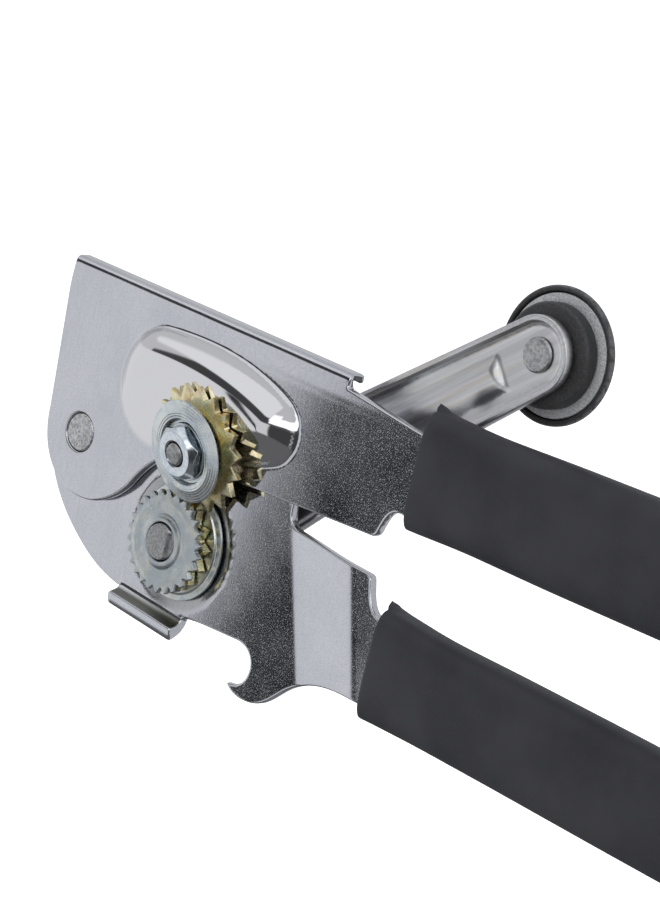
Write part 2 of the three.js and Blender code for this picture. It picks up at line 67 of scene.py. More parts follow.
GAP = 0.3
SHEET = 2.0
UPPER_FRONT = 4.4
LOWER_FRONT = 6.7
PIVOT = (-35.2, 13.0)
KNOB = tuple(round(joints["knob_spin"]["pos_m"][i] / MM, 4) for i in (0, 2))


def flat_at(x=0.0, up=0.0):
    return Matrix(((1, 0, 0, x * MM), (0, 0, -1, 0), (0, 1, 0, up * MM), (0, 0, 0, 1)))


def cutter_frame():
    axis = Vector(joints["cutter_spin"]["axis"]).normalized()
    front = Vector((0, -1, 0))
    away = (front - front.dot(axis) * axis).normalized()
    side = away.cross(axis)
    m = Matrix((side, away, axis)).transposed().to_4x4()
    m.translation = Vector(joints["cutter_spin"]["pos_m"])
    return m


CUTTER = cutter_frame()

# ---- node helpers ----


class Tree:
    """Adds nodes to one node tree."""

    def __init__(self, tree):
        self.tree = tree

    def put(self, socket, value):
        if isinstance(value, bpy.types.NodeSocket):
            self.tree.links.new(value, socket)
        else:
            socket.default_value = value

    def new(self, kind, inputs=None, **settings):
        node = self.tree.nodes.new(kind)
        for key, value in settings.items():
            setattr(node, key, value)
        for key, value in (inputs or {}).items():
            self.put(node.inputs[key], value)
        return node

    def math(self, operation, a, b=0.0):
        return self.new("ShaderNodeMath", {0: a, 1: b}, operation=operation).outputs[0]

    def spread(self, value, low, high, to_low=0.0, to_high=1.0):
        inputs = {"Value": value, "From Min": low, "From Max": high,
                  "To Min": to_low, "To Max": to_high}
        node = self.new("ShaderNodeMapRange", inputs, interpolation_type="SMOOTHSTEP")
        return node.outputs["Result"]


class Nodes(Tree):
    """Builds one material's node tree."""

    def __init__(self, name):
        self.mat = bpy.data.materials.new(name)
        self.mat.use_nodes = True
        super().__init__(self.mat.node_tree)
        self.shader = self.tree.nodes["Principled BSDF"]
        coord = self.tree.nodes.new("ShaderNodeTexCoord")
        self.where = coord.outputs["Object"]

    def moved(self, scale=(1, 1, 1), turn=(0, 0, 0), place=(0, 0, 0)):
        inputs = {"Vector": self.where, "Scale": scale, "Rotation": turn, "Location": place}
        return self.new("ShaderNodeMapping", inputs).outputs[0]

    def noise(self, scale, detail=2.0, rough=0.5, at=None, distortion=0.0):
        return self.new("ShaderNodeTexNoise", {
            "Vector": self.where if at is None else at, "Scale": scale, "Detail": detail,
            "Roughness": rough, "Distortion": distortion,
        }).outputs["Fac"]

    def blend(self, factor, a, b):
        node = self.new("ShaderNodeMix", {"Factor": factor}, data_type="RGBA")
        for socket, colour in (("A", a), ("B", b)):
            found = [s for s in node.inputs if s.name == socket and s.type == "RGBA"][0]
            self.put(found, colour if isinstance(colour, bpy.types.NodeSocket) else (*colour, 1))
        return [s for s in node.outputs if s.type == "RGBA"][0]

    def bump(self, height, distance, strength=1.0, under=None):
        inputs = {"Height": height, "Strength": strength, "Distance": distance}
        if under is not None:
            inputs["Normal"] = under
        return self.new("ShaderNodeBump", inputs).outputs["Normal"]

    def radius(self):
        """Distance from the piece's own axis, in metres."""
        xyz = self.new("ShaderNodeSeparateXYZ", {0: self.where})
        x2 = self.math("MULTIPLY", xyz.outputs[0], xyz.outputs[0])
        y2 = self.math("MULTIPLY", xyz.outputs[1], xyz.outputs[1])
        return self.math("SQRT", self.math("ADD", x2, y2))

    def painted(self, name):
        return self.new("ShaderNodeAttribute", attribute_name=name).outputs["Fac"]

    def set(self, **values):
        for name, value in values.items():
            self.put(self.shader.inputs[name.replace("_", " ")], value)
        return self.mat


# ---- materials ----


def plated_sheet(name):
    """Nickel-plated sheet: rolled grain, fine orange-peel speckle, a polished drawn boss, and painted
    shade where marked.
    """
    n = Nodes(name)
    polish = n.painted("polish")
    plain = n.math("SUBTRACT", 1.0, polish)
    grain = n.noise(1.0, 3, 0.6, at=n.moved((3800, 260, 3800)))
    speck = n.noise(3600, 2, 0.6)
    patches = n.noise(70, 3, 0.5)
    tone = n.math("ADD", n.math("MULTIPLY", grain, 0.45), n.math("MULTIPLY", patches, 0.55))
    colour = n.blend(n.spread(tone, 0.36, 0.64), (0.60, 0.61, 0.655), (0.68, 0.685, 0.72))
    dimple = n.math("MULTIPLY", n.spread(speck, 0.52, 0.40), n.math("MULTIPLY", plain, 0.35))
    colour = n.blend(dimple, colour, (0.40, 0.40, 0.43))
    colour = n.blend(polish, colour, (0.76, 0.75, 0.765))
    # Painted shade: where this attribute is set the colour goes to a dark olive brown and the surface
    # gets rougher.
    painted_shade = n.painted("painted_shade")
    colour = n.blend(painted_shade, colour, (0.235, 0.235, 0.20))
    mark = n.math("MULTIPLY", n.spread(speck, 0.54, 0.70), plain)
    rough = n.math("ADD", n.spread(patches, 0.3, 0.7, 0.06, 0.09), n.math("MULTIPLY", mark, 0.15))
    rough = n.math("ADD", rough, n.math("MULTIPLY", painted_shade, 0.30))
    matt = n.spread(polish, 0.0, 1.0, 1.0, 0.15)
    normal = n.bump(grain, 0.0000010, matt)
    normal = n.bump(speck, 0.0000022, matt, normal)
    return n.set(Base_Color=colour, Metallic=1.0, Roughness=rough, Normal=normal)


def zinc(name, tint=0.5, rough=(0.24, 0.36), rings=0.00042, depth=0.00001, shade=1.0):
    """Blue-white zinc with the turned rings of a lathe tool and a faint rainbow film."""
    n = Nodes(name)
    r = n.radius()
    ring = n.math("SINE", n.math("MULTIPLY", r, 2 * math.pi / rings))
    wear = n.noise(700, 3)
    film = n.noise(260, 2, distortion=0.6)
    low, high = (0.60, 0.66, 0.70), (0.74, 0.77, 0.76)
    low, high = [tuple(shade * c for c in colour) for colour in (low, high)]
    colour = n.blend(n.spread(film, 0.38, 0.62), low, high)
    warm = n.math("MULTIPLY", n.spread(n.noise(420, 2), 0.52, 0.7), tint)
    colour = n.blend(warm, colour, (0.72, 0.70, 0.50))
    normal = n.bump(n.math("ADD", ring, n.noise(1800, 2)), depth)
    normal = n.bump(wear, 0.00003, 0.6, normal)
    return n.set(Base_Color=colour, Metallic=1.0, Roughness=n.spread(wear, 0.3, 0.7, *rough),
                 Normal=normal)


def yellow_zinc(name):
    """Yellow chromate: gold drifting to green and rose."""
    n = Nodes(name)
    drift = n.noise(330, 2, distortion=0.8)
    rose = n.spread(n.noise(480, 2, at=n.moved(place=(0.3, 0.1, 0.2))), 0.52, 0.66)
    colour = n.blend(n.spread(drift, 0.35, 0.62), (0.78, 0.60, 0.27), (0.88, 0.82, 0.54))
    colour = n.blend(n.math("MULTIPLY", rose, 0.5), colour, (0.74, 0.56, 0.50))
    green = n.spread(n.noise(300, 2, at=n.moved(place=(0.7, 0.4, 0.1))), 0.52, 0.64)
    colour = n.blend(n.math("MULTIPLY", green, 0.5), colour, (0.62, 0.70, 0.48))
    wear = n.noise(1500, 3)
    return n.set(Base_Color=colour, Metallic=1.0, Roughness=n.spread(wear, 0.3, 0.7, 0.2, 0.36),
                 Normal=n.bump(wear, 0.00003, 0.7))


def dull_steel(name, base=0.40):
    """Cut and peened steel ends: pitted and matt."""
    n = Nodes(name)
    pits = n.noise(1500, 3, 0.65)
    fine = n.noise(5200, 2)
    low, high = (base * 0.72,) * 3, (base * 1.25, base * 1.26, base * 1.28)
    colour = n.blend(n.spread(pits, 0.35, 0.62), low, high)
    normal = n.bump(fine, 0.00002, 0.8)
    normal = n.bump(pits, 0.00009, 0.8, normal)
    return n.set(Base_Color=colour, Metallic=1.0, Roughness=n.spread(fine, 0.3, 0.7, 0.36, 0.54),
                 Normal=normal)


def bright_zinc(name):
    """Blue-bright zinc of the hexagon nut."""
    n = Nodes(name)
    wear = n.noise(900, 2)
    colour = n.blend(n.spread(wear, 0.35, 0.65), (0.58, 0.64, 0.70), (0.76, 0.80, 0.84))
    normal = n.bump(wear, 0.00003, 0.5)
    normal = n.bump(n.noise(3800, 2), 0.000008, 0.8, normal)
    return n.set(Base_Color=colour, Metallic=1.0, Roughness=n.spread(wear, 0.3, 0.7, 0.1, 0.2),
                 Normal=normal)


def arm_plate(name):
    """Bright plated channel with draw lines, faintly tinted streaks and a wrinkled rim."""
    n = Nodes(name)
    along = n.moved(turn=(0, 0, -math.radians(38)))
    stretched = n.new("ShaderNodeMapping", {"Vector": along, "Scale": (45, 900, 500)}).outputs[0]
    streak = n.noise(1.0, 2, 0.5, at=stretched)
    hue = n.noise(0.7, 1, at=stretched, distortion=0.3)
    speck = n.noise(3600, 2, 0.6)
    wrinkle = n.painted("wrinkle")
    colour = n.blend(n.spread(streak, 0.35, 0.65), (0.66, 0.66, 0.67), (0.80, 0.80, 0.81))
    warm = n.math("MULTIPLY", n.spread(hue, 0.52, 0.64), 0.4)
    colour = n.blend(warm, colour, (0.74, 0.66, 0.58))
    violet = n.math("MULTIPLY", n.spread(hue, 0.46, 0.36), 0.3)
    colour = n.blend(violet, colour, (0.62, 0.58, 0.68))
    crinkle = n.noise(1.0, 3, 0.65, at=n.moved((1500, 1500, 300)))
    normal = n.bump(streak, 0.0000045)
    normal = n.bump(speck, 0.0000055, 1.0, normal)
    normal = n.bump(crinkle, 0.00016, wrinkle, normal)
    return n.set(Base_Color=colour, Metallic=1.0, Roughness=n.spread(speck, 0.3, 0.7, 0.28, 0.36),
                 Normal=normal)


def vinyl(name):
    """Dipped black vinyl: matt, faintly mottled, with fine dust-like grain."""
    n = Nodes(name)
    mottle = n.noise(55, 3)
    grain = n.noise(2600, 2, 0.6)
    colour = n.blend(n.spread(mottle, 0.35, 0.65), (0.021, 0.021, 0.026), (0.029, 0.029, 0.034))
    colour = n.blend(n.spread(grain, 0.55, 0.75), colour, (0.034, 0.034, 0.038))
    normal = n.bump(grain, 0.00003, 0.45)
    normal = n.bump(mottle, 0.0004, 0.25, normal)
    return n.set(Base_Color=colour, Roughness=n.spread(grain, 0.3, 0.7, 0.46, 0.60), Normal=normal,
                 Specular_IOR_Level=0.30)


def moulded_plastic(name, base=0.030, bump=0.00010, highlight_grey=(0.11, 0.11, 0.115)):
    """Black plastic with a fine spark-eroded texture, and a painted highlight: lighter grey where the
    rim is marked.
    """
    n = Nodes(name)
    grain = n.noise(2400, 3, 0.65)
    rim_highlight = n.painted("rim_highlight")
    low, high = (base * 0.7,) * 3, (base * 1.7, base * 1.7, base * 1.8)
    colour = n.blend(n.spread(grain, 0.4, 0.7), low, high)
    # Painted highlight: a broken lighter grey on the marked rim.
    colour = n.blend(n.math("MULTIPLY", rim_highlight, n.spread(n.noise(900, 2), 0.3, 0.6)), colour, highlight_grey)
    return n.set(Base_Color=colour, Roughness=n.spread(grain, 0.3, 0.7, 0.40, 0.58),
                 Normal=n.bump(grain, bump, 0.8))


def satin_disc(name):
    """Grey, speckled satin finish."""
    n = Nodes(name)
    speck = n.noise(2600, 3, 0.7)
    broad = n.noise(160, 2)
    colour = n.blend(n.spread(speck, 0.36, 0.64), (0.36, 0.36, 0.37), (0.66, 0.66, 0.67))
    colour = n.blend(n.math("MULTIPLY", n.spread(broad, 0.4, 0.65), 0.4), colour, (0.52, 0.52, 0.53))
    return n.set(Base_Color=colour, Metallic=0.3, Roughness=n.spread(speck, 0.3, 0.7, 0.42, 0.6),
                 Normal=n.bump(speck, 0.00008, 0.8))


# ---- mesh helpers ----


def polar(steps):
    return [2 * math.pi * i / steps for i in range(steps)]


def fillet(points, radius, closed):
    """Rounds a profile's corners."""
    out, count = [], len(points)
    for i, here in enumerate(points):
        here = np.array(here, float)
        if not closed and i in (0, count - 1):
            out.append(here)
            continue
        back = np.array(points[i - 1], float) - here
        on = np.array(points[(i + 1) % count], float) - here
        a, b = np.linalg.norm(back), np.linalg.norm(on)
        if back @ on < -0.985 * a * b:
            out.append(here)
            continue
        cut = min(radius, 0.45 * a, 0.45 * b)
        start, end = here + back / a * cut, here + on / b * cut
        for t in (0, 0.25, 0.5, 0.75, 1):
            out.append((1 - t) ** 2 * start + 2 * t * (1 - t) * here + t * t * end)
    return out


def turned(profile, segments=128, radius=0.14):
    """Verts and faces of a turned piece from [radius, depth] pairs."""
    closed = not (profile[0][0] == 0 and profile[-1][0] == 0)
    points = fillet(profile, radius, closed)
    verts, rows = [], []
    for r, depth in points:
        if r < 1e-6:
            rows.append([len(verts)] * segments)
            verts.append((0.0, 0.0, -depth))
            continue
        rows.append(list(range(len(verts), len(verts) + segments)))
        verts += [(r * math.cos(t), r * math.sin(t), -depth) for t in polar(segments)]
    faces = []
    for k in range(len(rows) if closed else len(rows) - 1):
        a, b = rows[k], rows[(k + 1) % len(rows)]
        for i in range(segments):
            j = (i + 1) % segments
            face = [a[i], a[j], b[j], b[i]]
            face = [v for m, v in enumerate(face) if v != face[m - 1]]
            if len(face) > 2:
                faces.append(face)
    return verts, faces


def band(a, b, steps):
    """Faces between two rings of points that start at a and b."""
    return [[a + i, a + (i + 1) % steps, b + (i + 1) % steps, b + i] for i in range(steps)]


def joined(*parts):
    verts, faces = [], []
    for v, f in parts:
        base = len(verts)
        verts += [tuple(p) for p in v]
        faces += [[i + base for i in face] for face in f]
    return verts, faces


CURVE_STEPS = 24


def path(start, *moves):
    """A closed outline: a move of two numbers is a line, one of six a cubic curve."""
    points = [np.array(start, float)]
    for move in moves:
        here = points[-1]
        if len(move) == 2:
            points.append(np.array(move, float))
            continue
        a, b, c = (np.array(move[i : i + 2], float) for i in (0, 2, 4))
        for t in np.linspace(0, 1, CURVE_STEPS + 1)[1:]:
            s = 1 - t
            points.append(s**3 * here + 3 * t * s**2 * a + 3 * t * t * s * b + t**3 * c)
    return points


SHORTEST_EDGE = 0.12


def even(points, step):
    """The same outline, with no edge longer than step and none very short."""
    out = []
    for a, b in zip(points, points[1:] + points[:1]):
        length = np.linalg.norm(b - a)
        if length < 1e-6:
            continue
        count = max(1, math.ceil(length / step))
        out += [a + (b - a) * i / count for i in range(count)]
    kept = [out[0]]
    for p in out[1:]:
        if np.linalg.norm(p - kept[-1]) > SHORTEST_EDGE:
            kept.append(p)
    if np.linalg.norm(kept[-1] - kept[0]) < SHORTEST_EDGE:
        kept.pop()
    loop = np.array(kept)
    after = np.roll(loop, -1, 0)
    area = np.sum(loop[:, 0] * after[:, 1] - loop[:, 1] * after[:, 0])
    return loop if area > 0 else loop[::-1]


def circle(centre, r, steps=48):
    x, up = centre
    return np.array([(x + r * math.cos(t), up + r * math.sin(t)) for t in polar(steps)])


def inside(points, loop):
    """Which points an outline holds, by the number of edges to their right."""
    a, b = loop, np.roll(loop, -1, 0)
    x, y = points[:, :1], points[:, 1:]
    rise = np.where(b[:, 1] == a[:, 1], 1e-12, b[:, 1] - a[:, 1])
    spans = (a[:, 1] > y) != (b[:, 1] > y)
    crosses = spans & (x < (b[:, 0] - a[:, 0]) * (y - a[:, 1]) / rise + a[:, 0])
    return crosses.sum(1) % 2 == 1


POINTS_AT_ONCE = 2000


def rim_distance(points, loops):
    """Distance of each point from the nearest edge of any loop."""
    a = np.concatenate(loops)
    b = np.concatenate([np.roll(loop, -1, 0) for loop in loops])
    d = b - a
    long = (d**2).sum(1)
    best = []
    for start in range(0, len(points), POINTS_AT_ONCE):
        p = points[start : start + POINTS_AT_ONCE, None, :]
        t = np.clip(((p - a) * d).sum(2) / long, 0, 1)
        best.append(np.sqrt((((p - a) - t[..., None] * d) ** 2).sum(2)).min(1))
    return np.concatenate(best)


def clockwise(a, b, c):
    return (b - a)[0] * (c - a)[1] - (b - a)[1] * (c - a)[0] < 0


def mesh_region(outline, holes, spacing, insets):
    """Triangles that fill an outline, with rows of points along its rim."""
    loops = [outline] + [h[::-1] for h in holes]
    points, edges = [], []
    for loop in loops:
        base = len(points)
        points += list(loop)
        edges += [(base + i, base + (i + 1) % len(loop)) for i in range(len(loop))]
    extra = []
    for loop in loops:
        along = np.roll(loop, -1, 0) - np.roll(loop, 1, 0)
        normal = np.stack([-along[:, 1], along[:, 0]], 1)
        normal /= np.linalg.norm(normal, axis=1)[:, None]
        for inset in insets:
            row = loop + normal * inset
            extra.append(row[rim_distance(row, loops) > 0.93 * inset])
    low, high = outline.min(0), outline.max(0)
    rows = np.arange(low[1], high[1], spacing * 0.87)
    grid = np.array([(x + (k % 2) * spacing / 2, y) for k, y in enumerate(rows)
                     for x in np.arange(low[0], high[0], spacing)])
    grid = grid[inside(grid, outline)]
    grid = grid[rim_distance(grid, loops) > insets[-1] + 0.35 * spacing]
    cloud = np.concatenate([np.array(points), *extra, grid])
    cloud = cloud.round(5)
    verts, _, faces, *_ = delaunay_2d_cdt([Vector(p) for p in cloud], edges, [], 1, 1e-5)
    flat = np.array([(v.x, v.y) for v in verts])
    middle = np.array([flat[list(f)].mean(0) for f in faces])
    keep = inside(middle, outline)
    for hole in holes:
        keep &= ~inside(middle, hole)
    faces = [list(f) for f, k in zip(faces, keep) if k]
    faces = [f[::-1] if clockwise(*flat[f]) else f for f in faces]
    used = sorted({i for f in faces for i in f})
    index = {v: i for i, v in enumerate(used)}
    flat = flat[used]
    faces = [[index[i] for i in f] for f in faces]
    return flat, faces, rim_distance(flat, loops)


def rounded(distance, radius):
    """How far a rounded edge falls away at each distance from the rim."""
    left = np.clip(radius - distance, 0, radius)
    return radius - np.sqrt(radius**2 - left**2)


def skin(flat, faces, front, back):
    """A closed solid between a front and a back surface over the same triangles."""
    count = len(flat)
    verts = np.concatenate([front, back])
    every = [list(f) for f in faces] + [[i + count for i in f[::-1]] for f in faces]
    directed = {(f[k], f[(k + 1) % 3]) for f in faces for k in range(3)}
    for a, b in directed:
        if (b, a) not in directed:
            every.append([b, a, a + count, b + count])
    return verts, every


EDGE_R = 0.36
EDGE_ROWS = (0.07, 0.2, EDGE_R, 0.56)


def pressed(outline, holes, front_at, back_at, spacing=1.0, insets=EDGE_ROWS, step=0.6,
            holes_count=True):
    """A sheet part: front_at and back_at give points from (x, up, distance from the rim).

    Without holes_count the distance is measured from the outline alone.
    """
    loop = even(list(outline), step)
    flat, faces, distance = mesh_region(loop, holes, spacing, insets)
    if not holes_count:
        distance = rim_distance(flat, [loop])
    x, up = flat[:, 0], flat[:, 1]
    verts, every = skin(flat, faces, front_at(x, up, distance), back_at(x, up, distance))
    return verts, every, np.concatenate([flat, flat]), np.concatenate([distance, distance])


def piece(node, mesh_data, matrix, material, paint=None, weighted=False, sharp=None):
    """Adds a finished piece that stands for one CAD node."""
    verts, faces = mesh_data
    data = bpy.data.meshes.new("look_" + node)
    data.from_pydata([tuple(c * MM for c in v) for v in verts], [], faces)
    edit = bmesh.new()
    edit.from_mesh(data)
    bmesh.ops.recalc_face_normals(edit, faces=edit.faces)
    for face in edit.faces:
        face.smooth = True
    edit.to_mesh(data)
    edit.free()
    if sharp is not None:
        data.set_sharp_from_angle(angle=math.radians(sharp))
    for name, values in (paint or {}).items():
        layer = data.attributes.new(name, "FLOAT", "POINT")
        layer.data.foreach_set("value", np.asarray(values, np.float32))
    obj = bpy.data.objects.new("look_" + node, data)
    bpy.context.scene.collection.objects.link(obj)
    obj.matrix_world = matrix
    data.materials.append(material)
    if weighted:
        modifier = obj.modifiers.new("even_shading", "WEIGHTED_NORMAL")
        modifier.keep_sharp = True
    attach(obj, body_of[node])
    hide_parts(node)
    return obj


def ring(bore, outside, front, back):
    """Profile of a plain ring."""
    return [(bore, front), (outside, front), (outside, back), (bore, back)]


def worn_edges(obj, width, degrees):
    """Rounds the edges that turn by more than an angle."""
    edges = obj.modifiers.new("worn_edges", "BEVEL")
    edges.width = width
    edges.segments = 2
    edges.limit_method = "ANGLE"
    edges.angle_limit = math.radians(degrees)
    edges.harden_normals = True


def lathe(node, profile, matrix, material, segments=128, radius=0.14, rim_highlight=None):
    """Adds a turned piece; the last argument gives its painted rim highlight from (radius, depth)."""
    mesh_data = turned(profile, segments, radius)
    paint = None
    if rim_highlight is not None:
        verts = np.array(mesh_data[0])
        r = np.hypot(verts[:, 0], verts[:, 1])
        paint = {"rim_highlight": rim_highlight(r, -verts[:, 2])}
    return piece(node, mesh_data, matrix, material, paint, weighted=True)


def smooth(value, low, high):
    """0 up to low, 1 from high on, and an S-shaped rise between them."""
    t = np.clip((value - low) / (high - low), 0, 1)
    return t * t * (3 - 2 * t)


def stack(x, up, depth):
    """Rows of piece coordinates from a position and a depth behind the front plane."""
    return np.stack([x, up, -depth], 1)


# ---- upper plate ----

TOP_EDGE = 48.9
TOP_TURN = math.radians(89)
CREASE = 43.0
BEND_R = 1.5
CREASE_RIDGE, CREASE_WIDTH = 0.12, 0.5
FLANGE_DROP = 0.55
FLANGE_REACH = 2.6
BEND_SKIN = 0.15
FLANGE_END = 37.4
TANG_END = 150.0
PAD_OFFSET = 4.9
POST_HOLE_OFFSET = 5.0
POST_HOLE_R = 2.7
HINGE_HOLE_R = 4.35
# The boss is drawn from circles, given as (x, up, radius).
BOSS_END, BOSS_MIDDLE = (-13.2, 29.9, 13.2), (5.0, 31.0, 12.0)
BOSS_NOSE, BOSS_POST = (20.4, 31.3, 7.8), (4.0, 23.0, 11.0)
BOSS_SLOPE = 9.0
BOSS_ROUNDING = 2.2
BOSS_FOOT = (-0.4, 1.3)
LEAST_BOSS_HEIGHT = 0.2

bend_start = TOP_EDGE - BEND_R
bend_end = bend_start + BEND_R * math.pi / 2
sheet_end = bend_end + FLANGE_REACH


def capsule(x, up, a, b):
    """How far inside the hull of two circles each point is."""
    reach = math.hypot(b[0] - a[0], b[1] - a[1])
    ux, uy = (b[0] - a[0]) / reach, (b[1] - a[1]) / reach
    along = (x - a[0]) * ux + (up - a[1]) * uy
    off = np.abs((up - a[1]) * ux - (x - a[0]) * uy)
    s = (a[2] - b[2]) / reach
    c = math.sqrt(1 - s * s)
    k = -s * off + c * along
    first = np.hypot(off, along) - a[2]
    last = np.hypot(off, along - reach) - b[2]
    side = off * c + along * s - a[2]
    return -np.where(k < 0, first, np.where(k > c * reach, last, side))


def along_curve(a, b, c, steps=90):
    """Samples of a smooth curve of circles that runs through three circles."""
    a, b, c = (np.array(v, float) for v in (a, b, c))
    pull = 2 * b - (a + c) / 2
    t = np.linspace(0, 1, steps)[:, None]
    return (1 - t) ** 2 * a + 2 * t * (1 - t) * pull + t * t * c


BOSS_CURVE = along_curve(BOSS_END, BOSS_MIDDLE, BOSS_NOSE)


def boss_rise(x, up):
    """Height of the drawn boss as a share of its pad, and how far inside it a point is."""
    depth_in = capsule(x, up, BOSS_MIDDLE, BOSS_POST)
    for cx, cup, r in BOSS_CURVE:
        depth_in = np.maximum(depth_in, r - np.hypot(x - cx, up - cup))
    t = np.clip(depth_in / BOSS_SLOPE, 0, 1)
    return (1 - (1 - t) ** BOSS_ROUNDING) * smooth(depth_in, *BOSS_FOOT), depth_in


def pad_depth(x, up):
    """Depth of the tilted pad that faces the cutter gear."""
    axis = CUTTER.col[2].xyz
    centre = CUTTER.translation / MM - axis * PAD_OFFSET
    return centre.y - ((x - centre.x) * axis.x + (up - centre.z) * axis.z) / axis.y


def boss_height(x, up):
    rise, _ = boss_rise(x, up)
    pad = np.minimum(pad_depth(x, up), UPPER_FRONT - LEAST_BOSS_HEIGHT)
    return (UPPER_FRONT - pad) * rise


def upper_surface(x, up, distance, behind):
    """The plate's front (behind 0) or back (behind SHEET) surface, bent at the top."""
    along = x * math.cos(TOP_TURN) + up * math.sin(TOP_TURN)
    fall = rounded(distance, EDGE_R)
    thinned = smooth(along, bend_start - BEND_R, bend_start)
    thinned = thinned * (1 - smooth(along, bend_end, sheet_end))
    inset = behind - (SHEET - BEND_R + BEND_SKIN) * thinned - fall if behind else fall
    slope = np.clip((along - CREASE) / (bend_start - CREASE), 0, 1)
    slope = slope + CREASE_RIDGE * np.exp(-(((along - CREASE) / CREASE_WIDTH) ** 2))
    turn = np.clip((along - bend_start) / BEND_R, 0, math.pi / 2)
    straight = np.clip(along - bend_end, 0, None)
    radius = BEND_R - inset
    new_along = np.where(along < bend_start, along, bend_start + radius * np.sin(turn))
    bent = UPPER_FRONT + FLANGE_DROP + BEND_R - radius * np.cos(turn) + straight
    plain = UPPER_FRONT + FLANGE_DROP * slope - boss_height(x, up) + inset
    depth = np.where(along < bend_start, plain, bent)
    shift = new_along - along
    return stack(x + shift * math.cos(TOP_TURN), up + shift * math.sin(TOP_TURN), depth)


def top_line(x):
    """Height of the unbent sheet's top edge."""
    return (sheet_end - x * math.cos(TOP_TURN)) / math.sin(TOP_TURN)


upper_outline = path(
    (-49.1, top_line(-49.1)), (-46.6, 16), (-46.9, 6, -40.5, -0.6, -31.5, -0.6),
    (-25.5, -0.6, -21, 2.2, -17.2, 6.6), (-13.5, 12.5, -8.5, 18.2, 3, 18.2), (14.6, 17.9),
    (52.6, 19.6), (54.3, 19.7, 54.2, 21.6, 54.8, 22.8), (55.6, 25.4, 57.2, 26.5, 59.6, 26.0),
    (TANG_END, 29), (TANG_END, 41), (59.6, 42.6), (FLANGE_END + 0.6, 45.25),
    (FLANGE_END, 45.2, FLANGE_END - 0.1, 45.6, FLANGE_END - 0.1, 46.2),
    (FLANGE_END, top_line(FLANGE_END)),
)
post_axis = CUTTER.col[2].xyz
post_point = CUTTER.translation / MM - post_axis * POST_HOLE_OFFSET
upper_holes = [
    circle(PIVOT, HINGE_HOLE_R, 64), circle((post_point.x, post_point.z), POST_HOLE_R, 32),
]
verts, faces, flat, far = pressed(
    upper_outline, upper_holes,
    lambda x, up, d: upper_surface(x, up, d, 0),
    lambda x, up, d: upper_surface(x, up, d, SHEET), spacing=0.5,
)
polish = smooth(boss_rise(flat[:, 0], flat[:, 1])[1], -0.4, 1.2)
nickel = plated_sheet("nickel_plate")
piece("upper_plate", (verts, faces), flat_at(), nickel, {"polish": polish})

# ---- lower plate ----

# The joggle brings the tang forward, level with the upper plate.
JOGGLE_TURN = math.radians(19)
JOGGLE = (35.2, 48.5)
JOGGLE_BLEND = 3.0
# A shallow round dish lies behind the feed flange.
DISH = (13.2, 14.9)
DISH_DEPTH = 0.35
# Painted shadow in the dish: its share, and the radii over which it fades out.
DISH_SHADE, DISH_SHADE_RIM = 0.4, (14.4, 15.6)
BUSHING_HOLE_R = 6.2
RIVET_HOLE_R = 3.3
# The guard is a tab bent forward into a trough, with a lip that grows thicker.
GUARD = (-15.0, 5.4)
GUARD_SIDE = 0.4
GUARD_LEAN = math.radians(86.5)
GUARD_START = -14.95
GUARD_TURN = math.radians(75)
GUARD_R = 2.0
GUARD_LIP = 1.88
GUARD_FLARE, GUARD_FLARE_RUN = 1.0, (0.3, 3.6)


def eased_ramp(value):
    """0 below zero and the value above it, with a soft bend between."""
    w = JOGGLE_BLEND
    return np.where(value > w, value, np.where(value < -w, 0, (value + w) ** 2 / (4 * w)))


def lower_surface(x, up, distance, behind):
    """The plate's front (behind 0) or back (behind SHEET) surface, guard included."""
    fall = rounded(distance, EDGE_R)
    inset = SHEET - fall if behind else fall
    u = x * math.cos(JOGGLE_TURN) + up * math.sin(JOGGLE_TURN)
    slope = (LOWER_FRONT - UPPER_FRONT) / (JOGGLE[1] - JOGGLE[0])
    depth = LOWER_FRONT - slope * (eased_ramp(u - JOGGLE[0]) - eased_ramp(u - JOGGLE[1]))
    depth = depth + DISH_DEPTH * (1 - smooth(np.hypot(x, up), *DISH)) + inset
    down = x * math.cos(GUARD_LEAN) + up * math.sin(GUARD_LEAN)
    on_tab = (down < GUARD_START) & (x < GUARD[1] + GUARD_SIDE) & (x > GUARD[0] - GUARD_SIDE)
    run = np.clip(GUARD_START - down, 0, None)
    turn = np.clip(run / GUARD_R, 0, GUARD_TURN)
    straight = np.clip(run - GUARD_R * GUARD_TURN, 0, None)
    radius = GUARD_R + inset
    if behind:
        radius = radius + GUARD_FLARE * smooth(run, *GUARD_FLARE_RUN)
    tab_down = GUARD_START - radius * np.sin(turn) - straight * math.cos(GUARD_TURN)
    tab_depth = LOWER_FRONT - GUARD_R + radius * np.cos(turn)
    tab_depth = tab_depth - straight * math.sin(GUARD_TURN)
    shift = np.where(on_tab, tab_down - down, 0)
    return stack(x + shift * math.cos(GUARD_LEAN), up + shift * math.sin(GUARD_LEAN),
                 np.where(on_tab, tab_depth, depth))


def guard_edge(x):
    """Point on the unbent tab's end."""
    end = GUARD_START - GUARD_R * GUARD_TURN - GUARD_LIP
    return x, (end - x * math.cos(GUARD_LEAN)) / math.sin(GUARD_LEAN)


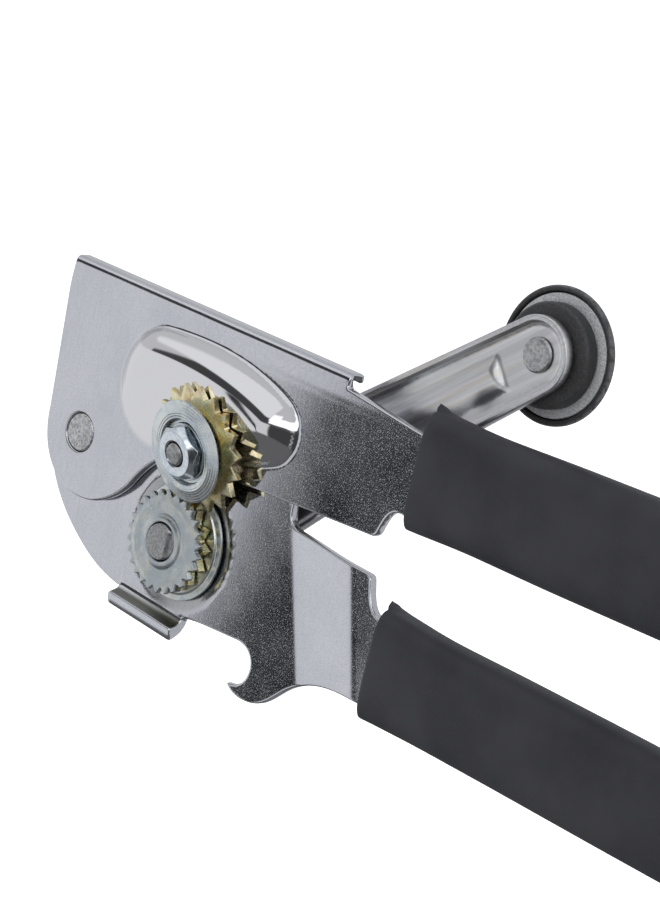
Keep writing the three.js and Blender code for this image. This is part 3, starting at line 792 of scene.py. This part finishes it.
lower_outline = path(
    (-47.0, 14), (-47.2, 4, -40.5, -3.6, -33.5, -8.4), (-28.5, -11.8, -23.5, -14.6, -16.0, -15.6),
    (GUARD[0], -15.6), guard_edge(GUARD[0]), guard_edge(GUARD[1]), (GUARD[1], -15.6), (5.8, -15.5),
    (9, -14.6, 15, -14.6, 21.5, -14.2), (25.4, -14.0, 27.4, -16.4, 27.2, -19.0),
    (27.0, -21.6, 25.2, -23.4, 21.8, -23.7), (23.4, -25.8, 28.6, -26.2, 32.4, -24.2),
    (36.0, -22.0, 37.5, -18.6, 42.6, -16.4), (46, -14.6, 52, -13.2, 58.4, -13.4),
    (TANG_END, -12.2), (TANG_END, 1.6), (59.6, 4.6), (56.6, 5.6, 56.2, 8.4, 55.4, 11.0),
    (55.2, 11.9, 54.6, 12.2, 53.6, 12.2), (31.8, 13.2), (29.8, 13.6, 29.0, 14.8, 28.9, 16.6),
    (28.9, 21), (-28, 24), (-38, 26, -46.8, 22, -47.0, 14),
)
verts, faces, flat, far = pressed(
    lower_outline, [circle((0, 0), BUSHING_HOLE_R, 64), circle(PIVOT, RIVET_HOLE_R, 32)],
    lambda x, up, d: lower_surface(x, up, d, 0),
    lambda x, up, d: lower_surface(x, up, d, SHEET), spacing=0.9,
)
reach = np.hypot(flat[:, 0], flat[:, 1])
# Painted soft shadow in the dish behind the feed flange.
dish_shadow = DISH_SHADE * (1 - smooth(reach, *DISH_SHADE_RIM))
# Painted shade inside the guard's trough.
trough_shade = (smooth(GUARD_START - 0.3 - flat[:, 1], 0.2, 1.2) * smooth(far, 0.25, 0.5)
             * (np.abs(flat[:, 0] - sum(GUARD) / 2) < (GUARD[1] - GUARD[0]) / 2))
piece("lower_plate", (verts, faces), flat_at(), nickel,
      {"polish": np.zeros(len(verts)), "painted_shade": np.maximum(dish_shadow, trough_shade)})

# ---- crank arm ----

ARM_FRONT = 13.2
ARM_SHEET = 1.4
ARM_RIM = 1.5
RIM_THICK = 1.25
ARM_SPINE = [(0.0, 0.0, 10.5), (32.0, 29.7, 9.7), (KNOB[0], KNOB[1], 7.8)]
BACK_ROUND = 1.3
ARM_STEP = 0.5
# The rib's height and half widths, and where it starts, is full and ends along the arm.
RIB_RISE = 1.3
RIB_HALF = (5.6, 3.8)
RIB_START, RIB_FULL = -18, -8
RIB_GAP, RIB_RAMP = 9.0, 2.2
WEB_ROUND, WEB_EDGE = 0.5, (1.35, 2.4)
RIM_FRONT_R, RIM_INNER_R = 0.28, 0.2


def hull_points(a, b, steps=90):
    """Outline of the hull of two circles."""
    heading = math.atan2(b[1] - a[1], b[0] - a[0])
    reach = math.hypot(b[0] - a[0], b[1] - a[1])
    opening = math.acos((a[2] - b[2]) / reach)
    points = []
    for c, start, end in ((a, heading + opening, heading - opening + 2 * math.pi),
                          (b, heading - opening, heading + opening)):
        for t in np.linspace(start, end, steps):
            points.append(np.array((c[0] + c[2] * math.cos(t), c[1] + c[2] * math.sin(t))))
    return even(points, ARM_STEP)


def arm_outline():
    """Outline of the bent arm: two hulls that share the elbow's circle."""
    hub, elbow, end = ARM_SPINE
    first, second = hull_points(hub, elbow), hull_points(elbow, end)
    out_first = capsule(first[:, 0], first[:, 1], elbow, end) < -1e-3
    out_second = capsule(second[:, 0], second[:, 1], hub, elbow) < -1e-3

    def run(points, keep):
        start = next(i for i in range(len(points)) if keep[i] and not keep[i - 1])
        return [points[(start + k) % len(points)] for k in range(int(keep.sum()))]

    return run(first, out_first) + run(second, out_second)


arm_heading = math.atan2(KNOB[1] - ARM_SPINE[1][1], KNOB[0] - ARM_SPINE[1][0])
arm_length = math.hypot(KNOB[0] - ARM_SPINE[1][0], KNOB[1] - ARM_SPINE[1][1])


def arm_rib(x, up):
    """The raised rib along the web, ending in a steep facet before the knob."""
    dx, dup = x - ARM_SPINE[1][0], up - ARM_SPINE[1][1]
    along = dx * math.cos(arm_heading) + dup * math.sin(arm_heading)
    off = np.abs(dup * math.cos(arm_heading) - dx * math.sin(arm_heading))
    end = arm_length - RIB_GAP
    half = np.interp(along, [RIB_START, end], RIB_HALF)
    across = 1 - np.clip(off / half, 0, 1) ** 2
    lengthways = np.clip((end - along) / RIB_RAMP, 0, 1)
    return RIB_RISE * smooth(along, RIB_START, RIB_FULL) * np.minimum(across, lengthways)


def arm_front(x, up, d):
    inner = np.clip(RIM_THICK - d, 0, None)
    rim = ARM_FRONT - ARM_RIM + rounded(d, RIM_FRONT_R) + rounded(inner, RIM_INNER_R)
    web = ARM_FRONT - arm_rib(x, up) - WEB_ROUND * (1 - smooth(d, *WEB_EDGE))
    return stack(x, up, np.where(d < RIM_THICK + 0.01, rim, web))


def arm_back(x, up, d):
    return stack(x, up, ARM_FRONT + ARM_SHEET - rounded(d, BACK_ROUND))


verts, faces, flat, far = pressed(
    arm_outline(), [circle((0, 0), 3.3, 40), circle(KNOB, 2.7, 40)], arm_front, arm_back,
    spacing=0.7, insets=(0.06, 0.16, 0.3, 0.7, 1.05, 1.24, 1.36, 1.6, 2.0), step=ARM_STEP,
    holes_count=False,
)
# The rim is most wrinkled where it turns around the knob's end.
TOWARDS_KNOB = (0.77, 0.64)
rim_end = smooth(flat[:, 0] * TOWARDS_KNOB[0] + flat[:, 1] * TOWARDS_KNOB[1], 84, 95)
wrinkle = (1 - smooth(far, 0.7, 1.9)) * (0.25 + 0.75 * rim_end)
piece("crank_arm", (verts, faces), flat_at(), arm_plate("nickel_arm"),
      {"wrinkle": wrinkle})

# ---- turned hardware ----

zinc_bright = zinc("zinc")
zinc_plain = zinc("zinc_plain", 0.25)
gold = yellow_zinc("yellow_zinc")
steel = dull_steel("dull_steel")
plastic = moulded_plastic("black_plastic")
LOWER_BACK = LOWER_FRONT + SHEET
SPINDLE_R, SPINDLE_BORE = 3.9, 4.2

lathe("pivot_rivet", [
    (0, UPPER_FRONT), (3.9, UPPER_FRONT + 0.02), (4.2, UPPER_FRONT + 0.35), (4.2, LOWER_FRONT - GAP),
    (3.0, LOWER_FRONT - GAP), (3.0, LOWER_BACK + 1.4), (6.2, LOWER_BACK + 1.4),
    (5.7, LOWER_BACK + 2.0), (3.4, LOWER_BACK + 2.4), (0, LOWER_BACK + 2.5),
], flat_at(*PIVOT), dull_steel("rivet_steel", 0.60))
lathe("pivot_washer", ring(3.3, 7, LOWER_BACK + GAP, LOWER_BACK + 1.1), flat_at(*PIVOT),
      zinc_plain)
lathe("spindle_bushing", [
    (SPINDLE_BORE, LOWER_FRONT + 0.2), (5.9, LOWER_FRONT + 0.2), (5.9, 9.7), (8.5, 9.7),
    (8.5, 10.7), (6.4, 10.9), (6.4, 11.7), (SPINDLE_BORE, 11.7),
], flat_at(), gold)
lathe("feed_flange", [
    (SPINDLE_BORE, 5.6), (11.0, 5.6), (11.4, 5.95), (12.7, 6.05), (12.7, 6.6), (SPINDLE_BORE, 6.6),
], flat_at(), zinc_bright, 160)
lathe("crank_washer", ring(SPINDLE_BORE, 7.4, 12.0, 12.9), flat_at(), zinc_plain)

# Spindle: a D-shaped end in front of a stepped shaft.
END_FLAT, END_FLAT_BLEND = 2.3, 0.12
END_STEP = 0.88
END_ROUND = 0.35


def spindle_front(x, up, d):
    step = END_STEP * smooth(x, END_FLAT, END_FLAT + END_FLAT_BLEND)
    return stack(x, up, rounded(d, END_ROUND) + step)


d_end = pressed(
    circle((0, 0), SPINDLE_R, 72), [], spindle_front,
    lambda x, up, d: stack(x, up, np.full_like(x, 1.6)), 0.35, (0.06, 0.16, 0.35), 0.4,
)
shaft = turned([
    (0, 1.5), (SPINDLE_R, 1.5), (SPINDLE_R, 12.9), (3.0, 12.9), (3.0, 14.9), (5.0, 14.9),
    (4.6, 15.8), (0, 16.3),
], 96)
piece("spindle", joined(d_end[:2], shaft), flat_at(), steel, weighted=True)

# ---- toothed wheels ----

FEED_TEETH, DRIVE_TEETH, CUTTER_TEETH = 26, 15, 18


def tooth_loop(teeth, root, tip, root_half, tip_half):
    points = []
    for i in range(teeth):
        centre = 2 * math.pi * i / teeth
        for r, along in ((root, -root_half), (tip, -tip_half), (tip, tip_half), (root, root_half)):
            turn = centre + along / r
            points.append(np.array((r * math.cos(turn), r * math.sin(turn))))
    return points


def softened(points):
    """Cuts the corners of a loop, as wear does."""
    cut = []
    for a, b in zip(points, points[1:] + points[:1]):
        cut += [a * 0.8 + b * 0.2, a * 0.2 + b * 0.8]
    return cut


FEED_FRONT, FEED_BACK = 1.0, 2.5
FEED_HUB = 0.45
TOOTH_STEP = 0.16


def feed_front(x, up, d):
    """A conical hub, a flat web and a rim of teeth one small step lower."""
    r = np.hypot(x, up)
    depth = FEED_HUB + (FEED_FRONT - FEED_HUB) * smooth(r, 5.0, 6.1)
    depth = depth + TOOTH_STEP * smooth(r, 8.85, 9.15)
    return stack(x, up, depth + rounded(d, 0.22))


feed = pressed(
    softened(tooth_loop(FEED_TEETH, 9.8, 11.1, 1.05, 0.22)),
    [circle((0, 0), SPINDLE_BORE, 72)], feed_front,
    lambda x, up, d: stack(x, up, FEED_BACK - rounded(d, 0.2)), 0.45, (0.06, 0.14, 0.26), 0.35,
)
feed_zinc = zinc("feed_zinc", 0.35, (0.26, 0.40), 0.0009, 0.000006, 0.82)
piece("feed_wheel", feed[:2], flat_at(), feed_zinc)

STUD_R, STUD_BORE = 2.4, 2.7
SLEEVE_R, SLEEVE_BORE = 4.3, 4.6
CUTTER_LEAN = math.atan2(CUTTER.translation.x, CUTTER.translation.z)
ROOT_FALL = 0.75
RIDGE_START, VALLEY_START = 1.3, 1.9
VALLEY_NARROWING = 0.9
TIP_BACK_CUT = 0.25


def pyramid_gear(teeth, bore, root, tip, root_half, front, back, phase, fall):
    """A coined gear: each tooth is a low pyramid whose ridge runs out to its point."""
    verts, faces = [], []
    inner, outline = [], []
    for i in range(teeth):
        centre = phase + 2 * math.pi * i / teeth
        for r, turn, drop in (
            (root, centre - root_half / root, fall * ROOT_FALL),
            (tip, centre, fall),
            (root, centre + root_half / root, fall * ROOT_FALL),
        ):
            outline.append((r * math.cos(turn), r * math.sin(turn), front + drop))
    steps = len(outline)
    for i in range(steps):
        tooth, kind = divmod(i, 3)
        turn = phase + 2 * math.pi * tooth / teeth + (kind - 1) * math.pi / teeth * VALLEY_NARROWING
        r = root - (RIDGE_START if kind == 1 else VALLEY_START)
        inner.append((r * math.cos(turn), r * math.sin(turn), front))
    turns = [math.atan2(y, x) for x, y, s in inner]
    bore_ring = [(bore * math.cos(t), bore * math.sin(t)) for t in turns]
    rows = [
        [(x, y, -front) for x, y in bore_ring],
        [(x, y, -s) for x, y, s in inner],
        [(x, y, -s) for x, y, s in outline],
        [(x, y, -(back - TIP_BACK_CUT * (i % 3 == 1))) for i, (x, y, s) in enumerate(outline)],
        [(x, y, -back) for x, y, s in inner],
        [(x, y, -back) for x, y in bore_ring],
    ]
    for row in rows:
        verts += row
    for k in range(len(rows)):
        strip = band(k * steps, (k + 1) % len(rows) * steps, steps)
        if k != 1:
            faces += strip
            continue
        # The pyramids' faces are split along their ridges.
        for i, (p, q, r, s) in enumerate(strip):
            faces += [[p, q, r], [p, r, s]] if i % 3 == 0 else [[p, q, s], [q, r, s]]
    return verts, faces


# At rest a drive gear tooth points at the cutter's axis, between two cutter gear teeth.
drive_teeth = pyramid_gear(
    DRIVE_TEETH, SPINDLE_BORE, 8.6, 10.8, 1.55, 2.8, 5.3, math.pi / 2 - CUTTER_LEAN, 0.55)
cutter_teeth = pyramid_gear(
    CUTTER_TEETH, SLEEVE_BORE, 11.4, 13.8, 1.75, 2.7, 4.6, -math.pi / 2 + math.pi / CUTTER_TEETH, 0.6)
for node, teeth, place in (
    ("drive_gear", drive_teeth, flat_at()), ("cutter_gear", cutter_teeth, CUTTER),
):
    worn_edges(piece(node, teeth, place, gold, sharp=14), 0.00011, 14)

lathe("cutter_wheel", [
    (SLEEVE_BORE, 0.7), (6.8, 0.7), (7.15, -0.5), (8.4, -0.56), (10.9, 0.15), (11.0, 0.25),
    (10.9, 0.35), (8.2, 1.9), (SLEEVE_BORE, 1.9),
], CUTTER, zinc("cutter_zinc", 0.15, (0.2, 0.32), 0.00055, 0.000016), 192, 0.1)
lathe("cutter_sleeve", ring(STUD_BORE, SLEEVE_R, 0.8, 4.6), CUTTER, steel)
lathe("nut_washer", ring(STUD_BORE, 6.1, 0.0, 0.4), CUTTER, zinc_plain)
lathe("cutter_post", [
    (0, -3.0), (1.7, -3.0), (2.15, -2.95), (STUD_R, -2.6), (STUD_R, 7.15), (4.2, 7.15),
    (4.2, 7.9), (3.6, 8.1), (0, 8.1),
], CUTTER, steel, 64)

NUT_CORNER = 0.985
NUT_CHAMFER = 1.06
BORE_CHAMFER = (0.3, 0.25)


def hex_nut(corner, low, high, bore, top_r, steps=144):
    """A hexagon nut with a turned chamfer, from its corner radius."""
    rows = [[], [], [], [], [], []]
    for t in polar(steps):
        wedge = (t + math.pi / 6) % (math.pi / 3) - math.pi / 6
        r = min(corner * math.cos(math.pi / 6) / math.cos(wedge), corner * NUT_CORNER)
        fall = (r - top_r) * NUT_CHAMFER
        for row, (rr, s) in zip(rows, (
            (bore, low + BORE_CHAMFER[1]), (bore + BORE_CHAMFER[0], low), (top_r, low),
            (r, low + fall), (r, high), (bore, high),
        )):
            row.append((rr * math.cos(t), rr * math.sin(t), -s))
    verts = [p for row in rows for p in row]
    faces = []
    for k in range(len(rows)):
        faces += band(k * steps, (k + 1) % len(rows) * steps, steps)
    return verts, faces


nut = piece("cutter_nut", hex_nut(6.3, -2.7, -GAP, STUD_BORE, 4.75), CUTTER,
            bright_zinc("bright_zinc"), sharp=24)
worn_edges(nut, 0.00009, 28)

# ---- knob ----

KNOB_FRONT = ARM_FRONT + ARM_SHEET + GAP
COLLAR_BACK = KNOB_FRONT + 3.2
BACKING_BACK = COLLAR_BACK + 1.1
CAP_FRONT = BACKING_BACK + GAP
LIP = COLLAR_BACK - 0.2
POST_END = KNOB_FRONT + 7.9
knob_place = flat_at(*KNOB)
lathe("knob_post", [
    (0, 12.42), (1.3, 12.40), (2.5, 12.3), (3.2, 12.45), (3.5, 12.75), (3.5, 12.9), (STUD_R, 12.9),
    (STUD_R, POST_END - 1.0), (3.4, POST_END - 1.0), (3.4, POST_END), (0, POST_END),
], knob_place, dull_steel("knob_rivet_steel", 0.5), 96)
lathe("knob_collar", [
    (STUD_BORE, KNOB_FRONT), (9.9, KNOB_FRONT), (10.4, KNOB_FRONT + 0.5), (10.4, COLLAR_BACK),
    (STUD_BORE, COLLAR_BACK),
], knob_place, plastic, 160, 0.3)
lathe("knob_backing", ring(STUD_BORE, 12.2, COLLAR_BACK + GAP, BACKING_BACK), knob_place,
      satin_disc("satin_backing"), 160, 0.2)
# The cap's outer lip gets a painted highlight, a lighter grey line around its rim.
lathe("knob_cap", [
    (3.8, CAP_FRONT), (12.5, CAP_FRONT), (12.5, LIP + 0.2), (13.2, LIP),
    (13.7, LIP + 0.4), (13.7, LIP + 1.3), (12.9, LIP + 2.3), (11.2, LIP + 4.0), (8.6, LIP + 5.7),
    (5.0, LIP + 7.0), (0, LIP + 7.6), (0, LIP + 5.6), (3.8, LIP + 5.6),
], knob_place, plastic, 192, 0.6,
    lambda r, depth: smooth(r, 13.15, 13.6) * (1 - smooth(depth, LIP + 0.7, LIP + 1.6)))

# ---- grips ----

GRIP_MOUTH = 62.1
GRIP_LENGTH = 112.0
GRIP_THICKNESS = 11.6
GRIP_RING = 72
MID_DEPTH = UPPER_FRONT + SHEET / 2
# A small nib stands out at the mouth's upper front corner: its reach forward and up, its spread
# in degrees around the mouth, and its share on each ring that carries it.
NIB_REACH = (1.3, 1.2)
NIB_SPREAD = 6
NIB_SHARES = {4: 0.3, 5: 0.9, 6: 1.0, 7: 0.25}


def oval(x, low, high, thickness, squareness, dx=0.0):
    """Points around the grip; a squareness of 2 is an ellipse and more is boxier."""
    loop = []
    for t in polar(GRIP_RING):
        s, c = math.sin(t), math.cos(t)
        up = math.copysign(abs(s) ** (2 / squareness), s)
        front = math.copysign(abs(c) ** (2 / squareness), c)
        loop.append([x + dx, (low + high) / 2 + up * (high - low) / 2,
                     -MID_DEPTH + front * thickness / 2])
    return loop


def grip_mesh(stations, room):
    """Vinyl sleeve: a lofted outside, a rounded mouth and the slot that takes the tang."""
    along = np.array([s[0] for s in stations], float)
    values = np.array([s[1:] for s in stations], float)
    marks = np.concatenate([np.linspace(0.0, 3, 4), np.linspace(5, 100, 40),
                            np.linspace(101, GRIP_LENGTH, 16)])
    rings = []
    fine = np.stack([np.interp(marks, along, values[:, k]) for k in range(4)], 1)
    # The stretch between the mouth and the rounded end is smoothed.
    for _ in range(3):
        core = fine[6:-14].copy()
        core[1:-1] = (core[:-2] + 2 * core[1:-1] + core[2:]) / 4
        fine[6:-14] = core
    low0, high0, thin0, square0 = fine[0]
    slot_low, slot_high = room
    wall = SHEET + 2 * GAP
    rings.append(oval(TANG_END + GAP, slot_low[1], slot_high[1], wall, 12))
    rings.append(oval(GRIP_MOUTH + 0.6, slot_low[0], slot_high[0], wall, 12))
    rings.append(oval(GRIP_MOUTH + 0.1, slot_low[0] - 0.1, slot_high[0] + 0.1, wall + 0.3, 10))
    for inset, dx in ((1.2, 0.05), (0.45, 0.0), (0.15, 0.08)):
        rings.append(oval(GRIP_MOUTH, low0 + inset, high0 - inset,
                          GRIP_THICKNESS - thin0 - 2 * inset, square0, dx))
    for mark, (low, high, thin, square) in zip(marks, fine):
        rings.append(oval(GRIP_MOUTH + mark + (0.25 if mark == 0 else 0), low, high,
                          GRIP_THICKNESS - thin, square))
    verts, faces = [], []
    for k, loop in enumerate(rings):
        for i, p in enumerate(loop):
            turn = (360 * i / GRIP_RING - 90 + 180) % 360 - 180
            nib = math.exp(-((turn / NIB_SPREAD) ** 2)) * NIB_SHARES.get(k, 0)
            p[0] -= NIB_REACH[0] * nib
            p[1] += NIB_REACH[1] * nib
            verts.append(tuple(p))
    for k in range(len(rings) - 1):
        faces += band(k * GRIP_RING, (k + 1) * GRIP_RING, GRIP_RING)
    for loop, base in ((rings[0], 0), (rings[-1], (len(rings) - 1) * GRIP_RING)):
        hub = np.mean(loop, 0)
        if base:
            hub[0] += 0.35
        verts.append(tuple(hub))
        for i in range(GRIP_RING):
            faces.append([base + i, base + (i + 1) % GRIP_RING, len(verts) - 1])
    return verts, faces


# (distance from the mouth, lower edge, upper edge, thinning, squareness)
UPPER_GRIP = [
    (0, 24.0, 48.4, 2.0, 4), (3, 24.0, 48.2, 1.4, 3.4), (14, 24.4, 47.8, 0.4, 2.8),
    (35, 24.3, 48.4, 0, 2.6), (62, 24.6, 48.8, 0, 2.6), (88, 25.2, 48.4, 0.6, 2.6),
    (101, 26.2, 47.2, 1.6, 2.5), (108, 28.4, 44.8, 3.6, 2.3), (111, 31.2, 41.8, 6.4, 2.1),
    (GRIP_LENGTH, 33.8, 39.2, 9.4, 2),
]
LOWER_GRIP = [
    (0, -15.4, 7.8, 2.0, 4), (3, -15.4, 7.5, 1.4, 3.4), (14, -15.4, 6.6, 0.4, 2.8),
    (35, -15.8, 6.4, 0, 2.6), (62, -16.4, 5.8, 0, 2.6), (88, -16.9, 5.0, 0.6, 2.6),
    (101, -16.4, 3.8, 1.6, 2.5), (108, -14.5, 1.6, 3.6, 2.3), (111, -11.8, -1.2, 6.4, 2.1),
    (GRIP_LENGTH, -9.2, -3.8, 9.4, 2),
]
rubber = vinyl("vinyl")
# The tang's slot in each grip: lower edge at its mouth and end, then upper edge at both.
UPPER_SLOT = ((25.7, 28.7), (42.9, 41.3))
LOWER_SLOT = ((-13.7, -12.5), (4.9, 1.9))
for node, stations, room in (
    ("upper_grip", UPPER_GRIP, UPPER_SLOT), ("lower_grip", LOWER_GRIP, LOWER_SLOT),
):
    piece(node, grip_mesh(stations, room), flat_at(), rubber, sharp=50)

# ---- floor, light and camera ----

scene = bpy.context.scene
scene.view_settings.view_transform = "Standard"
floor_data = bpy.data.meshes.new("floor")
FLOOR_DROP = 0.10
half_side, floor_z = 2.5, cad_box[0].z - FLOOR_DROP
corners = ((-1, -1), (1, -1), (1, 1), (-1, 1))
floor_data.from_pydata(
    [(x * half_side, y * half_side, floor_z) for x, y in corners], [], [(0, 1, 2, 3)])
floor = bpy.data.objects.new("floor", floor_data)
scene.collection.objects.link(floor)
floor_paint = Nodes("floor")
floor_tone = floor_paint.blend(floor_paint.noise(6), (0.93, 0.93, 0.93), (0.95, 0.95, 0.95))
floor_data.materials.append(floor_paint.set(
    Base_Color=floor_tone, Roughness=0.9, Emission_Color=(1, 1, 1, 1), Emission_Strength=0.5))
floor.visible_glossy = False

world = bpy.data.worlds.new("studio")
scene.world = world
world.use_nodes = True
sky = Tree(world.node_tree)
sky.tree.nodes.clear()
DEG = 180 / math.pi


def window(value, a, b, soft):
    """1 between a and b and 0 outside them, with soft ends."""
    rise = sky.spread(value, a - soft, a + soft)
    return sky.math("MULTIPLY", rise, sky.spread(value, b - soft, b + soft, 1.0, 0.0))


coord = sky.new("ShaderNodeTexCoord")
split = sky.new("ShaderNodeSeparateXYZ", {0: coord.outputs["Generated"]})
dx, dy, dz = split.outputs[0], split.outputs[1], split.outputs[2]
# Azimuth from the front (-Y), positive towards -X; elevation above the horizon.
heading = sky.math("ARCTAN2", sky.math("MULTIPLY", dx, -1), sky.math("MULTIPLY", dy, -1))
azimuth = sky.math("MULTIPLY", heading, DEG)
elevation = sky.math("MULTIPLY", sky.math("ARCSINE", dz), DEG)

# The flat plates mirror azimuths of about 39 to 47 degrees, so the edge between the bright
# and the dark panel falls across them; it leans with elevation.
lean = sky.math("MULTIPLY", sky.math("ADD", elevation, 11.0), 0.22)
azimuth = sky.math("ADD", azimuth, lean)

# (azimuth from, to, elevation from, to, softness in azimuth, in elevation, level)
PANELS = [
    (42.0, 110, -45, 4, 0.6, 2, 0.82),
    (-8, 42.0, -40, 4, 0.8, 2, 0.74),
    (37.6, 42.0, -60, 4, 0.5, 2, 0.02),
    (-70, -8, -60, 6, 5, 4, 0.06),
    (-60, 61, 4.5, 29, 2, 1.4, 0.06),
    (-75, 0, 10, 34, 3, 2, 1.6),
    (-25, 6, 20, 46, 2, 3, 1.4),
    (6, 90, 29, 80, 6, 3, 0.90),
    (-180, 180, -85, -38, 3, 3, 0.14),
]
ROOM_LEVEL = 0.62
BACKDROP_LEVEL = 1.05
level = ROOM_LEVEL
for a0, a1, e0, e1, sa, se, value in PANELS:
    mask = sky.math("MULTIPLY", window(azimuth, a0, a1, sa), window(elevation, e0, e1, se))
    kept = sky.math("MULTIPLY", level, sky.math("SUBTRACT", 1.0, mask))
    level = sky.math("ADD", kept, sky.math("MULTIPLY", mask, value))
lit = sky.new("ShaderNodeBackground", {"Color": (0.96, 0.975, 1.0, 1), "Strength": level})
seen = sky.new("ShaderNodeBackground", {"Color": (1, 1, 1, 1), "Strength": BACKDROP_LEVEL})
# The pieces mirror the panels, and behind them is a plain pale backdrop.
rays = sky.new("ShaderNodeLightPath")
either = sky.new("ShaderNodeMixShader", {
    0: rays.outputs["Is Camera Ray"], 1: lit.outputs[0], 2: seen.outputs[0],
})
sky.new("ShaderNodeOutputWorld", {"Surface": either.outputs[0]})

middle = (cad_box[0] + cad_box[1]) / 2


def soft_light(name, place, size, watts):
    """A round white light that faces the object's middle and leaves no reflection."""
    data = bpy.data.lights.new(name, "AREA")
    data.shape, data.size, data.energy = "DISK", size, watts
    obj = bpy.data.objects.new(name, data)
    scene.collection.objects.link(obj)
    obj.location = middle + Vector(place)
    obj.rotation_mode = "QUATERNION"
    obj.rotation_quaternion = (middle - obj.location).to_track_quat("-Z", "Y")
    obj.visible_glossy = False


soft_light("key", (-0.45, -0.25, 0.95), 0.5, 5.0)
soft_light("back_fill", (0.3, 1.0, 0.5), 0.6, 4.0)

# The camera stands to the right of the plates' normal, level with them and rolled.
CAMERA_SIDE, CAMERA_ROLL = math.radians(42.7), math.radians(18)
CAMERA_PLACE = (0.38049, -0.38703, 0.14393)
camera_data = bpy.data.cameras.new("camera")
camera_data.sensor_width = 36.0
camera_data.lens = 106.4
camera_data.clip_start, camera_data.clip_end = 0.01, 20
camera = bpy.data.objects.new("camera", camera_data)
scene.collection.objects.link(camera)
rolled_x = Vector((math.cos(CAMERA_ROLL), 0, math.sin(CAMERA_ROLL)))
right = math.cos(CAMERA_SIDE) * rolled_x + Vector((0, math.sin(CAMERA_SIDE), 0))
upward = Vector((-math.sin(CAMERA_ROLL), 0, math.cos(CAMERA_ROLL)))
backward = right.cross(upward)
stand = Matrix((right, upward, backward)).transposed().to_4x4()
stand.translation = Vector(CAMERA_PLACE)
camera.matrix_world = stand
scene.camera = camera
